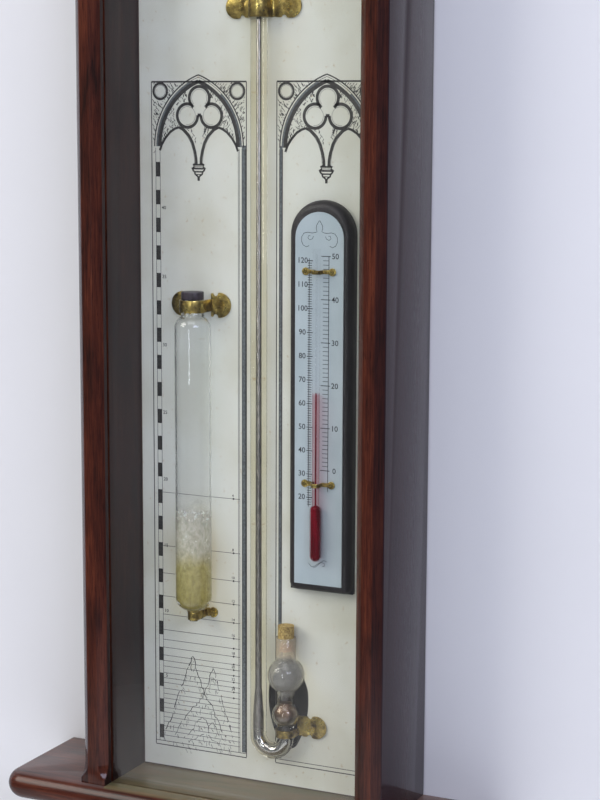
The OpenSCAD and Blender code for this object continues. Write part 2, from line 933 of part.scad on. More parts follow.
module long_leg_clip(z) {
    difference() {
        union() {
            band(tube_x, tube_y, z, band_in, clip_h);
            upright(chart_front, clip_front) for (s = [-1, 1]) {
                ear_2d(tube_x, z, s, lobe_r, lobe_x,
                    lobe_x - inner_lobe_in, band_in + EPS);
            }
        }
        for (p = tube_screws) {
            round_screw_hole(p[0], p[1], p[2], small_l);
        }
    }
}

module upper_tube_clip() {
    placed() color("#a9853f") long_leg_clip(clip_hi_z);
}

module middle_tube_clip() {
    placed() color("#a9853f") long_leg_clip(clip_mid_z);
}

module cistern_clip() {
    left_end = band_in + clip_t + cistern_tab;
    placed() color("#a9853f") difference() {
        union() {
            band(short_x, tube_y, cistern_clip_z, band_in,
                cistern_band_h);
            upright(chart_front, clip_front) {
                ear_2d(short_x, cistern_ear_z, 1, lobe_r,
                    lobe_x + cistern_lobe_out,
                    lobe_x + cistern_lobe_out - inner_lobe_in,
                    band_in + EPS);
                translate([short_x - left_end,
                    cistern_clip_z - cistern_band_h / 2])
                    square([left_end - band_in - EPS, cistern_band_h]);
            }
        }
        translate([short_x, -tube_y, low_bulb_z])
            sphere(r = low_bulb_d / 2 + bulb_clear);
        for (p = tube_screws) {
            round_screw_hole(p[0], p[1], p[2], small_l);
        }
    }
}

module tube_clip_screws() {
    placed() color("#c2a257") for (p = tube_screws) {
        round_screw(p[0], p[1], p[2], small_l);
    }
}

// ---- storm glass

// the turned outline of the storm glass, drawn from its axis outwards
module storm_2d(grow) {
    r = storm_r + grow;
    low = storm_z - grow;
    round_r = storm_round + grow;
    translate([0, low]) square([r - round_r, round_r + CUT]);
    translate([r - round_r, low + round_r]) intersection() {
        circle(r = round_r);
        translate([0, -round_r]) square([round_r, round_r]);
    }
    translate([0, low + round_r])
        square([r, storm_top_z - storm_round - low - round_r]);
    translate([r - round_r, storm_top_z - storm_round]) intersection() {
        circle(r = round_r);
        square([round_r, round_r]);
    }
    translate([0, storm_top_z - storm_round - CUT])
        square([r - round_r, round_r + CUT]);
    translate([0, storm_top_z - 2 * CUT])
        square([storm_neck_r + grow,
            storm_mouth_z - storm_top_z + 2 * CUT]);
}

module storm_solid(grow) {
    translate([storm_x, -storm_y, 0]) rotate_extrude($fn = 96)
        storm_2d(grow);
}

module storm_glass() {
    placed() color("#cfdad6", 0.35) difference() {
        union() {
            storm_solid(0);
            translate([storm_x, -storm_y, storm_z - storm_tail_h])
                cylinder(d = storm_tail_d,
                    h = storm_tail_h + storm_wall / 2);
        }
        storm_solid(-storm_wall);
        translate([storm_x, -storm_y, storm_mouth_z - CUT])
            cylinder(r = storm_neck_r - storm_wall, h = 2 * CUT);
    }
}

module storm_fill(z0, z1) {
    intersection() {
        storm_solid(-storm_wall - FILL_FIT);
        slab(storm_x - storm_d, storm_x + storm_d, 0, case_d, z0, z1);
    }
}

module storm_glass_liquid() {
    placed() color("#a39a55", 0.7) {
        storm_fill(storm_z, crystal_low_z);
        storm_fill(crystal_top_z, storm_level_z);
    }
}

module storm_glass_crystals() {
    placed() color("#c9c6ae", 0.9)
        storm_fill(crystal_low_z, crystal_top_z);
}

module storm_glass_cap() {
    placed() color("#33333a") translate([storm_x, -storm_y, 0]) {
        translate([0, 0, storm_mouth_z])
            cylinder(r = storm_neck_r, h = storm_cap_h);
        translate([0, 0, storm_mouth_z - storm_plug])
            cylinder(r = storm_neck_r - storm_wall - FILL_FIT,
                h = storm_plug + EPS);
    }
}

module storm_glass_upper_clip() {
    r_in = storm_neck_r + CLIP_FIT;
    placed() color("#8f7440") difference() {
        union() {
            band(storm_x, storm_y, storm_clip_z, r_in, storm_clip_h);
            upright(chart_front, clip_front) for (s = [-1, 1]) {
                ear_2d(storm_x, storm_clip_z, s, storm_lobe_r,
                    storm_lobe_x, storm_lobe_x - storm_inner_lobe_in,
                    r_in + EPS);
            }
        }
        for (p = storm_screws) {
            round_screw_hole(p[0], p[1], p[2], small_l);
        }
    }
}

module storm_glass_lower_clip() {
    r_in = storm_tail_d / 2 + CLIP_FIT;
    placed() color("#8f7440") difference() {
        union() {
            band(storm_x, storm_y, storm_tail_clip_z, r_in,
                storm_tail_clip_h);
            upright(chart_front, clip_front) for (s = [-1, 1]) {
                ear_2d(storm_x, storm_tail_clip_z, s, small_lobe_r,
                    small_lobe_x, small_lobe_x - small_inner_lobe_in,
                    r_in + EPS);
            }
        }
        for (p = storm_small_screws) {
            round_screw_hole(p[0], p[1], p[2], small_l);
        }
    }
}

module storm_clip_screws() {
    placed() color("#c2a257") {
        for (p = storm_screws) {
            round_screw(p[0], p[1], p[2], small_l);
        }
        for (p = storm_small_screws) {
            round_screw(p[0], p[1], p[2], small_l);
        }
    }
}

// ---- thermometer

module thermo_outline(inset) {
    r = thermo_r - inset;
    top = thermo_z + thermo_h - thermo_r;
    translate([thermo_x, top]) circle(r = r, $fn = 96);
    translate([thermo_x - r, thermo_z + inset])
        square([2 * r, top - thermo_z - inset]);
}

module thermometer_board() {
    e = thermo_edge;
    x = thermo_r - e;
    top = thermo_z + thermo_h - thermo_r;
    y = thermo_front - e;
    placed() color("#2b2b2d") difference() {
        intersection() {
            union() {
                upright(chart_front, y) thermo_outline(0);
                upright(chart_front, thermo_front) thermo_outline(e);
                for (s = [-1, 1]) {
                    translate([thermo_x + s * x, -y, thermo_z + e]) {
                        cylinder(r = e, h = top - thermo_z - e);
                        sphere(r = e);
                    }
                }
                along_x(y, thermo_z + e, thermo_x - x, thermo_x + x, e);
                translate([thermo_x, -y, top]) rotate([90, 0, 0])
                    rotate_extrude(angle = 180, $fn = 96)
                        translate([x, 0]) circle(r = e, $fn = 48);
            }
            slab(thermo_x - thermo_w, thermo_x + thermo_w, chart_front,
                thermo_front + CUT, thermo_z - CUT,
                thermo_z + thermo_h + CUT);
        }
        for (z = thermo_screw_z) {
            along_y(thermo_x, z, chart_front - CUT,
                chart_front + thermo_screw_deep + thermo_hole_extra,
                wood_shank_r + SCREW_FIT);
        }
        thermo_pin_holes();
    }
}

module thermo_pin_holes() {
    for (z = thermo_clip_z) {
        for (s = [-1, 1]) {
            along_y(thermo_tube_x + s * thermo_pin_x, z,
                plate_front - thermo_pin_l - thermo_pin_extra,
                plate_front + 2 * CUT, thermo_pin_r + SCREW_FIT);
        }
    }
}

module thermometer_plate() {
    placed() color("#c6d2dc") difference() {
        upright(thermo_front, plate_front) thermo_outline(thermo_edge);
        thermo_pin_holes();
    }
}

// outside or inside of the thermometer's glass, up to z1
module thermo_glass(r_bulb, r_tube, z1) {
    low = thermo_bulb_z + thermo_bulb_d / 2;
    high = thermo_bulb_z + thermo_bulb_h - thermo_bulb_d / 2;
    translate([thermo_tube_x, -thermo_tube_y, 0]) {
        translate([0, 0, low]) cylinder(r = r_bulb, h = high - low);
        for (z = [low, high]) {
            translate([0, 0, z]) sphere(r = r_bulb);
        }
        translate([0, 0, high]) cylinder(r = r_tube, h = z1 - high);
    }
}

module thermometer_tube() {
    placed() color("#d4dcde", 0.5) difference() {
        thermo_glass(thermo_bulb_d / 2, thermo_tube_d / 2,
            thermo_tube_top);
        thermo_glass(thermo_inner_r, thermo_bore_r,
            thermo_tube_top - thermo_cap);
    }
}

module thermometer_spirit() {
    placed() color("#7a1428")
        thermo_glass(thermo_inner_r - FILL_FIT, thermo_bore_r - FILL_FIT,
            thermo_spirit_z);
}

module thermo_clip(z) {
    r_in = thermo_tube_d / 2 + CLIP_FIT;
    t = thermo_clip_t;
    half = thermo_clip_h / 2;
    back = plate_front;
    difference() {
        union() {
            translate([thermo_tube_x, -thermo_tube_y, z - half])
                cylinder(r = r_in + t, h = thermo_clip_h);
            slab(thermo_tube_x - r_in - t, thermo_tube_x + r_in + t, back,
                thermo_tube_y, z - half, z + half);
            upright(back, back + t) for (s = [-1, 1]) {
                translate([thermo_tube_x + s * thermo_pin_x, z])
                    circle(r = thermo_lobe_r);
                translate([thermo_tube_x + (s > 0 ? r_in
                    : -thermo_pin_x), z - half])
                    square([thermo_pin_x - r_in, thermo_clip_h]);
            }
        }
        translate([thermo_tube_x, -thermo_tube_y, z - thermo_clip_h])
            cylinder(r = r_in, h = 2 * thermo_clip_h);
        slab(thermo_tube_x - r_in, thermo_tube_x + r_in, back - CUT,
            thermo_tube_y, z - thermo_clip_h, z + thermo_clip_h);
        thermo_pin_holes();
    }
}

module thermometer_upper_clip() {
    placed() color("#b08d3f") thermo_clip(thermo_clip_z[0]);
}

module thermometer_lower_clip() {
    placed() color("#b08d3f") thermo_clip(thermo_clip_z[1]);
}

module thermometer_pins() {
    placed() color("#c2a257") for (z = thermo_clip_z) {
        for (s = [-1, 1]) {
            along_y(thermo_tube_x + s * thermo_pin_x, z,
                plate_front + thermo_clip_t,
                plate_front + thermo_clip_t + thermo_pin_head_h,
                thermo_pin_head_r);
            along_y(thermo_tube_x + s * thermo_pin_x, z,
                plate_front - thermo_pin_l,
                plate_front + thermo_clip_t + EPS, thermo_pin_r);
        }
    }
}

module thermometer_board_screws() {
    placed() color("#8c7a52") for (z = thermo_screw_z) {
        along_y(thermo_x, z, back_gap + flat_head_sink,
            back_gap + flat_head_sink + flat_head_h, wood_head_r);
        along_y(thermo_x, z, back_gap + flat_head_h,
            chart_front + thermo_screw_deep, wood_shank_r);
    }
}

// ---- set pointers

// drawn for the right side; the left one is its mirror image about the tube
module on_side(s) {
    placed() translate([tube_x, 0, 0]) mirror([s < 0 ? 1 : 0, 0, 0])
        children();
}

function inv_deg(a) = tan(a) * 180 / PI - a;
function flank_a(r, base_r) = inv_deg(acos(min(1, base_r / r)));

// half the angle of a pinion tooth at radius r
function tooth_half(r) = let (base_r = pitch_r * cos(press_a))
    90 / pinion_n - backlash / 2 / pitch_r * 90 / PI
    + inv_deg(press_a) - flank_a(max(r, base_r), base_r);

function polar(r, a) = [r * cos(a), r * sin(a)];

// one tooth of a pinion as points, from its root round to its root
function tooth_points(mid) = let (root = pitch_r - pinion_ded,
    base_r = pitch_r * cos(press_a), tip = pitch_r + pinion_add,
    radii = [for (i = [0 : tooth_steps])
        base_r + (tip - base_r) * i / tooth_steps])
    concat([polar(root, mid - tooth_half(root))],
    [for (r = radii) polar(r, mid - tooth_half(r))],
    [for (i = [tooth_steps : -1 : 0])
        polar(radii[i], mid + tooth_half(radii[i]))],
    [polar(root, mid + tooth_half(root))]);

module pinion_2d() {
    polygon([for (k = [0 : pinion_n - 1])
        each tooth_points(k * 360 / pinion_n)]);
}

module pinion() {
    // turned so that a gap between two teeth faces the rack
    translate([rack_x - pinion_w / 2, -shaft_y, knob_z])
        rotate([0, 90, 0]) rotate([0, 0, 90 + 180 / pinion_n])
            difference() {
                linear_extrude(pinion_w) pinion_2d();
                translate([0, 0, -CUT]) cylinder(r = shaft_r,
                    h = pinion_w + 2 * CUT);
            }
}

module rack() {
    half = tooth_p / 4 - backlash / 4;
    slope = tan(press_a);
    count_down = floor((knob_z - rack_low_z) / tooth_p) - 1;
    count_up = floor((rack_top_z - rack_plain - knob_z) / tooth_p);
    x0 = rack_x - rack_w / 2;
    slab(x0, x0 + rack_w, rack_back, rack_back + rack_t, rack_low_z,
        rack_top_z);
    translate([x0, 0, knob_z]) rotate([90, 0, 90])
        linear_extrude(rack_w) for (k = [-count_down : count_up]) {
            translate([-rack_pitch, k * tooth_p]) polygon([
                [rack_ded + EPS, -half - slope * rack_ded],
                [-rack_add, -half + slope * rack_add],
                [-rack_add, half - slope * rack_add],
                [rack_ded + EPS, half + slope * rack_ded]]);
        }
}

module left_rack() {
    color("#a9853f") on_side(-1) rack();
}

module right_rack() {
    color("#a9853f") on_side(1) rack();
}

// a pointer rides on the top of its rack and reaches to the tube
module pointer() {
    x0 = rack_x - rack_w / 2;
    x1 = rack_x + rack_w / 2;
    x_out = x1 + pointer_side;
    x_in = rack_x - pointer_side;
    tip = tube_d / 2 + pointer_gap;
    y0 = rack_back;
    y1 = rack_back + rack_t + pointer_cap;
    z = pointer_z;
    difference() {
        slab(x0 - pointer_side, x_out, y0, y1,
            rack_top_z - pointer_grip, z + pointer_half);
        slab(x0 - EPS, x1 + EPS, y0 - CUT, rack_back + rack_t,
            rack_top_z - pointer_grip - CUT, rack_top_z);
    }
    translate([0, -y1, 0]) rotate([90, 0, 0])
        linear_extrude(pointer_t)
            polygon([[tip, z - pointer_tip], [x_in, z - pointer_half],
                [x_out, z - pointer_half], [x_out, z + pointer_half],
                [x_in, z + pointer_half], [tip, z + pointer_tip]]);
}

module left_pointer() {
    color("#b9994f") on_side(-1) pointer();
}

module right_pointer() {
    color("#b9994f") on_side(1) pointer();
}

module left_pinion() {
    color("#a9853f") on_side(-1) pinion();
}

module right_pinion() {
    color("#a9853f") on_side(1) pinion();
}

// how far the outside of the case is from the tube, on side s
function outside_x(s) = half_w - s * tube_x;

module shaft(s) {
    along_x(shaft_y, knob_z, rack_x - pinion_w / 2 - shaft_end,
        outside_x(s) + bush_flange_t + knob_gap + knob_l - knob_cap,
        shaft_r);
}

module left_shaft() {
    color("#9a9a9c") on_side(-1) shaft(-1);
}

module right_shaft() {
    color("#9a9a9c") on_side(1) shaft(1);
}

module knob(s) {
    x0 = outside_x(s) + bush_flange_t + knob_gap;
    difference() {
        union() {
            along_x(shaft_y, knob_z, x0, x0 + knob_neck_l,
                knob_d / 2 - knob_neck_in);
            along_x(shaft_y, knob_z, x0 + knob_neck_l - EPS, x0 + knob_l,
                knob_d / 2);
        }
        along_x(shaft_y, knob_z, x0 - CUT, x0 + knob_l - knob_cap,
            shaft_r);
    }
}

module left_knob() {
    color("#a9853f") on_side(-1) knob(-1);
}

module right_knob() {
    color("#a9853f") on_side(1) knob(1);
}

module bush(s) {
    x1 = outside_x(s);
    difference() {
        union() {
            along_x(shaft_y, knob_z, x1 - board_t, x1 + EPS, bush_r);
            along_x(shaft_y, knob_z, x1, x1 + bush_flange_t,
                bush_flange_r);
        }
        along_x(shaft_y, knob_z, x1 - board_t - CUT,
            x1 + bush_flange_t + CUT, shaft_r + shaft_clear);
    }
}

module left_bush() {
    color("#b9994f") on_side(-1) bush(-1);
}

module right_bush() {
    color("#b9994f") on_side(1) bush(1);
}

module bearing_bracket() {
    x0 = rack_x + pinion_w / 2 + bracket_gap;
    half = bracket_half;
    difference() {
        union() {
            slab(x0, x0 + bracket_t, chart_front, shaft_y,
                knob_z - half, knob_z + half);
            along_x(shaft_y, knob_z, x0, x0 + bracket_t, half);
            slab(x0, x0 + bracket_foot, chart_front,
                chart_front + bracket_t, knob_z - half, knob_z + half);
        }
        along_x(shaft_y, knob_z, x0 - CUT, x0 + bracket_t + CUT,
            shaft_r + shaft_clear);
        round_screw_hole(bracket_screw_x, knob_z,
            chart_front + bracket_t, small_l);
    }
}

module left_bearing_bracket() {
    color("#a9853f") on_side(-1) bearing_bracket();
}

module right_bearing_bracket() {
    color("#a9853f") on_side(1) bearing_bracket();
}

// a hooked strip over the rack with one foot on its outer side
module guide(z) {
    xi = rack_x - rack_w / 2 - slide_clear;
    xo = rack_x + rack_w / 2 + slide_clear;
    front = rack_tip + slide_clear;
    difference() {
        union() {
            slab(xi - guide_t, xo + guide_t, chart_front,
                front + guide_t, z - guide_h / 2, z + guide_h / 2);
            slab(xo, xo + guide_t + guide_foot, chart_front,
                chart_front + guide_t, z - guide_h / 2,
                z + guide_h / 2);
        }
        slab(xi, xo, chart_front - CUT, front, z - guide_h,
            z + guide_h);
        round_screw_hole(guide_screw_x, z, chart_front + guide_t,
            small_l);
    }
}

module left_upper_guide() {
    color("#a9853f") on_side(-1) guide(guide_z[1]);
}

module left_lower_guide() {
    color("#a9853f") on_side(-1) guide(guide_z[0]);
}

module right_upper_guide() {
    color("#a9853f") on_side(1) guide(guide_z[1]);
}

module right_lower_guide() {
    color("#a9853f") on_side(1) guide(guide_z[0]);
}

module guide_screws() {
    placed() color("#c2a257") for (s = guide_side) {
        round_screw(tube_x + s * bracket_screw_x, knob_z,
            chart_front + bracket_t, small_l);
        for (z = guide_z) {
            round_screw(tube_x + s * guide_screw_x, z,
                chart_front + guide_t, small_l);
        }
    }
}

left_side_board();
right_side_board();
back_board();
base_shelf();
top_board();
pediment();
front_glass();
lower_chart();
upper_chart();
cistern_well();
barometer_tube();
mercury();
cistern_stopper();
upper_tube_clip();
middle_tube_clip();
cistern_clip();
tube_clip_screws();
storm_glass();
storm_glass_liquid();
storm_glass_crystals();
storm_glass_cap();
storm_glass_upper_clip();
storm_glass_lower_clip();
storm_clip_screws();
thermometer_board();
thermometer_plate();
thermometer_tube();
thermometer_spirit();
thermometer_upper_clip();
thermometer_lower_clip();
thermometer_pins();
thermometer_board_screws();
left_rack();
right_rack();
left_pointer();
right_pointer();
left_pinion();
right_pinion();
left_shaft();
right_shaft();
left_knob();
right_knob();
left_bush();
right_bush();
left_bearing_bracket();
right_bearing_bracket();
left_upper_guide();
left_lower_guide();
right_upper_guide();
right_lower_guide();
guide_screws();
hanging_plate();
hanging_plate_screws();
shelf_screws();
top_board_screws();
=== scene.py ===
"""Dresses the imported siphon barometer: woods, papers, print, glass, brass."""

import math
import random

import bmesh
import bpy
from mathutils import Matrix, Vector


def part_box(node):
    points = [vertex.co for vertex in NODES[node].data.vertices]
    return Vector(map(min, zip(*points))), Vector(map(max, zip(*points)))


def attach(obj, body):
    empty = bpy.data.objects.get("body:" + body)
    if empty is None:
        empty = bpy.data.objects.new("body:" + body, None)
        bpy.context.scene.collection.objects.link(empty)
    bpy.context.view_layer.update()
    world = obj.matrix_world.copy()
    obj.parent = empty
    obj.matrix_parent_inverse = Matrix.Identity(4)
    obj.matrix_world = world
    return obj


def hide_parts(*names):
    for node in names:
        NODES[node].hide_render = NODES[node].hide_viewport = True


bl_info = {
    "name": "Siphon barometer dressing",
    "version": (1, 0, 0),
    "blender": (4, 5, 0),
    "location": "View3D > Sidebar > Barometer",
    "description": "Woods, printed charts, glass and brass for a wall barometer",
    "category": "Object",
}

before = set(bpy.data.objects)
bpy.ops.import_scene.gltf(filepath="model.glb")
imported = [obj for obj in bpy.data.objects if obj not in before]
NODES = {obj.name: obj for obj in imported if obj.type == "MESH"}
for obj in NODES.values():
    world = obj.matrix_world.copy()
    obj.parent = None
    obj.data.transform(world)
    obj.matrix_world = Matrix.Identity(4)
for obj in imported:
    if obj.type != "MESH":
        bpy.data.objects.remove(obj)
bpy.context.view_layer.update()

MM = 0.001
# height of the row's origin above the shelf, in millimetres
HANG = 1026.0
# fronts of the charts and of the thermometer's plate, out from the wall, and the ink's thickness
SHEET_FRONT = 22.5
PLATE_FRONT = 31.1
INK_T = 0.04
# axis of the tube's long leg, and middle of the upper bulb on its short leg
TUBE_X, TUBE_Y = 2.2, 29.0
BULB_X, BULB_Z = 20.8, 73.3
# axis of the storm glass
STORM_X, STORM_Y = -39.8, 34.2
# level of the mercury in the lower bulb, from which the chart's inches count
ZERO_LEVEL, INCH = 56.0, 25.4


# Small helpers

def srgb(hexa):
    """Turns an sRGB hex value into a linear colour with alpha 1."""
    out = []
    for i in (0, 2, 4):
        c = int(hexa[i:i + 2], 16) / 255
        out.append(c / 12.92 if c <= 0.04045 else ((c + 0.055) / 1.055) ** 2.4)
    return (*out, 1.0)


def place(x, depth, z):
    """A point from millimetres: across, out from the wall, up from the shelf."""
    return Vector((x * MM, -depth * MM, (z - HANG) * MM))


def add(tree, kind, inputs=None, stops=(), **settings):
    """Adds a node, sets its settings, and sets or links its inputs; text is an sRGB colour."""
    node = tree.nodes.new(kind)
    for key, value in settings.items():
        setattr(node, key, value)
    for key, value in (inputs or {}).items():
        socket = node.inputs[key]
        if isinstance(value, bpy.types.NodeSocket):
            tree.links.new(value, socket)
        else:
            socket.default_value = srgb(value) if isinstance(value, str) else value
    if stops:
        marks = node.color_ramp.elements
        while len(marks) < len(stops):
            marks.new(0.5)
        for mark, (where, colour) in zip(marks, stops):
            mark.position = where
            mark.color = srgb(colour) if isinstance(colour, str) else colour
    return node


def new_material(name):
    """An empty node material and its tree."""
    material = bpy.data.materials.new(name)
    material.use_nodes = True
    material.node_tree.nodes.clear()
    return material, material.node_tree


def maths(tree, operation, a, b=0.5):
    """The result of a maths node."""
    return add(tree, "ShaderNodeMath", {0: a, 1: b}, operation=operation).outputs[0]


def fit(tree, value, start=0.0, end=1.0, low=0.0, high=1.0, how="LINEAR"):
    """A value carried from the range start to end over to the range low to high."""
    return add(tree, "ShaderNodeMapRange", {
        "Value": value, "From Min": start, "From Max": end, "To Min": low, "To Max": high},
        interpolation_type=how).outputs["Result"]


def ramp(tree, value, *stops):
    """A colour that follows a value through stops."""
    return add(tree, "ShaderNodeValToRGB", {"Fac": value}, stops).outputs["Color"]


def blend(tree, share, a, b, how="MIX"):
    """Two colours mixed or multiplied by a share."""
    return add(tree, "ShaderNodeMix", {0: share, 6: a, 7: b}, data_type="RGBA", blend_type=how).outputs[2]


def bump(tree, height, strength, distance):
    """The normal of a surface raised by a height."""
    return add(tree, "ShaderNodeBump", {
        "Height": height, "Strength": strength, "Distance": distance}).outputs["Normal"]


def own_coordinates(tree, scale):
    """Object coordinates in millimetres, stretched."""
    spot = add(tree, "ShaderNodeTexCoord")
    return add(tree, "ShaderNodeMapping", {
        "Vector": spot.outputs["Object"], "Scale": tuple(1000 * s for s in scale)}).outputs["Vector"]


def noise(tree, scale, detail, rough=0.5, size=1.0, twist=0.0):
    """Noise over the object's own millimetres."""
    return add(tree, "ShaderNodeTexNoise", {
        "Vector": own_coordinates(tree, scale), "Scale": size, "Detail": detail, "Roughness": rough,
        "Distortion": twist}).outputs["Fac"]


def own_axis(tree, axis):
    """One of the object coordinates, in metres."""
    spot = add(tree, "ShaderNodeTexCoord")
    return add(tree, "ShaderNodeSeparateXYZ", {0: spot.outputs["Object"]}).outputs[axis]


def above(tree, start, end):
    """A soft factor from 0 to 1 as the height over the shelf goes from start to end."""
    return fit(tree, own_axis(tree, 2), place(0, 0, start).z, place(0, 0, end).z, how="SMOOTHSTEP")


def short_leg(tree, start, end):
    """The same factor on the tube's short leg alone, which lies past x = 12 to 14 mm."""
    beside = fit(tree, own_axis(tree, 0), place(12, 0, 0).x, place(14, 0, 0).x, how="SMOOTHSTEP")
    return maths(tree, "MULTIPLY", beside, above(tree, start, end))


def principled(tree, inputs):
    """The output of a principled shader."""
    return add(tree, "ShaderNodeBsdfPrincipled", inputs).outputs[0]


def solid(tree, inputs):
    """Ends a material in a principled shader."""
    add(tree, "ShaderNodeOutputMaterial", {"Surface": principled(tree, inputs)})


def thinned(tree, share, shader, tint="ffffff"):
    """Ends a material in a shader that gives way to a clear tint by a share."""
    hole = add(tree, "ShaderNodeBsdfTransparent", {"Color": tint})
    mix = add(tree, "ShaderNodeMixShader", {0: share, 1: shader, 2: hole.outputs[0]})
    add(tree, "ShaderNodeOutputMaterial", {"Surface": mix.outputs[0]})


def lit_through(tree, inputs, tint):
    """Ends a material in a clear body that lamps shine through instead of casting a dark shadow."""
    path = add(tree, "ShaderNodeLightPath").outputs
    soft = maths(tree, "MAXIMUM", path["Is Shadow Ray"], path["Is Diffuse Ray"])
    thinned(tree, soft, principled(tree, inputs), tint)


def finish_mesh(name, mesh, material, body="case"):
    """Links a mesh as a piece that rides on a body."""
    mesh.name = name
    piece = bpy.data.objects.new(name, mesh)
    bpy.context.scene.collection.objects.link(piece)
    mesh.materials.clear()
    mesh.materials.append(material)
    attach(piece, body)
    return piece


def evaluated(piece):
    """The plain mesh of an object with its modifiers applied."""
    bpy.context.view_layer.update()
    graph = bpy.context.evaluated_depsgraph_get()
    return bpy.data.meshes.new_from_object(piece.evaluated_get(graph), depsgraph=graph)


def from_form(name, form):
    """A mesh made of a bmesh, which is freed."""
    mesh = bpy.data.meshes.new(name)
    form.to_mesh(mesh)
    form.free()
    return mesh


def shaded(mesh, angle):
    """Shades a mesh smooth up to an angle in degrees."""
    mesh.polygons.foreach_set("use_smooth", [True] * len(mesh.polygons))
    mesh.set_sharp_from_angle(angle=math.radians(angle))
    return mesh


def dress(names, material):
    """Gives CAD nodes a material in their own slots."""
    for name in names:
        node = NODES[name]
        if not node.material_slots:
            node.data.materials.append(material)
        for slot in node.material_slots:
            slot.material = material


def cad_copy(node):
    """A copy of a CAD node's mesh as a bmesh, its doubled points merged."""
    form = bmesh.new()
    form.from_mesh(NODES[node].data)
    bmesh.ops.remove_doubles(form, verts=form.verts, dist=0.002 * MM)
    return form


def merge_flats(form):
    """Joins faces that lie in one plane."""
    bmesh.ops.dissolve_limit(form, angle_limit=math.radians(0.6), verts=form.verts, edges=form.edges)


def flatten_broad(form):
    """Shades broad faces flat and makes square ones true, so that no light bends across them."""
    for face in form.faces:
        axis = max(range(3), key=lambda i: abs(face.normal[i]))
        square = abs(face.normal[axis]) > 0.999
        # a strip 4 mm broad has this ratio of area to outline
        face.smooth = 2 * face.calc_area() < 4 * MM * face.calc_perimeter() and not square
        if square:
            side = math.copysign(1, face.normal[axis])
            level = side * max(side * v.co[axis] for v in face.verts)
            for v in face.verts:
                v.co[axis] = level


def softened(node, material, width, segments=2, smooth=35):
    """A copy of a CAD node with its sharp edges rounded inwards."""
    form = cad_copy(node)
    merge_flats(form)
    rough = bpy.data.objects.new(node + "_rough", from_form(node, form))
    bpy.context.scene.collection.objects.link(rough)
    bevel = rough.modifiers.new("Arris", "BEVEL")
    bevel.width = width * MM
    bevel.segments = segments
    bevel.limit_method = "ANGLE"
    bevel.angle_limit = math.radians(32)
    bevel.use_clamp_overlap = True
    done = evaluated(rough)
    bpy.data.objects.remove(rough)
    form = bmesh.new()
    form.from_mesh(done)
    flatten_broad(form)
    form.to_mesh(done)
    form.free()
    done.set_sharp_from_angle(angle=math.radians(smooth))
    piece = finish_mesh(node + "_soft", done, material, "case")
    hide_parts(node)
    return piece


def shortened(node, material, cap, drop):
    """A copy of a CAD node whose top, cap mm high, is set drop mm lower."""
    form = cad_copy(node)
    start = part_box(node)[1].z - cap * MM
    for v in form.verts:
        if v.co.z > start:
            v.co.z -= drop * MM
    merge_flats(form)
    piece = finish_mesh(node + "_soft", shaded(from_form(node, form), 40), material, "case")
    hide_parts(node)


def narrow_bore(piece, share):
    """Draws the long leg's bore, or what fills it, to a share of its width above the bend."""
    form = bmesh.new()
    form.from_mesh(piece.data)
    axis = place(TUBE_X, TUBE_Y, 0)
    # the bore narrows between these heights; the glass lies within the first reach, the bore in the second
    low, high = place(0, 0, 46).z, place(0, 0, 64).z
    glass_reach, bore_reach = 5.3 * MM, 3.0 * MM
    for z in (low, high):
        leg = [f for f in form.faces if all(abs(v.co.x - axis.x) < glass_reach for v in f.verts)]
        near = leg + list({e for f in leg for e in f.edges}) + list({v for f in leg for v in f.verts})
        bmesh.ops.bisect_plane(form, geom=near, plane_co=(0, 0, z), plane_no=(0, 0, 1), dist=1e-6)
    for v in form.verts:
        across, out = v.co.x - axis.x, v.co.y - axis.y
        if v.co.z > low and math.hypot(across, out) < bore_reach:
            k = 1 - (1 - share) * min(1.0, (v.co.z - low) / (high - low))
            v.co.x, v.co.y = axis.x + across * k, axis.y + out * k
    form.to_mesh(piece.data)
    form.free()


def lathe(name, x, depth, profile, sides, material):
    """A closed turned form about an upright axis; the profile runs from axis to axis, upwards."""
    form = bmesh.new()
    turns = [2 * math.pi * i / sides for i in range(sides)]
    rings = []
    for r, z in profile:
        if r == 0:
            around = [place(x, depth, z)]
        else:
            around = [place(x + r * math.cos(t), depth - r * math.sin(t), z) for t in turns]
        rings.append([form.verts.new(spot) for spot in around])
    for low, high in zip(rings, rings[1:]):
        for i in range(sides):
            j = (i + 1) % sides
            corners = [low[i % len(low)], low[j % len(low)], high[j % len(high)], high[i % len(high)]]
            form.faces.new(list(dict.fromkeys(corners)))
    bmesh.ops.recalc_face_normals(form, faces=form.faces)
    return finish_mesh(name, shaded(from_form(name, form), 40), material, "case")


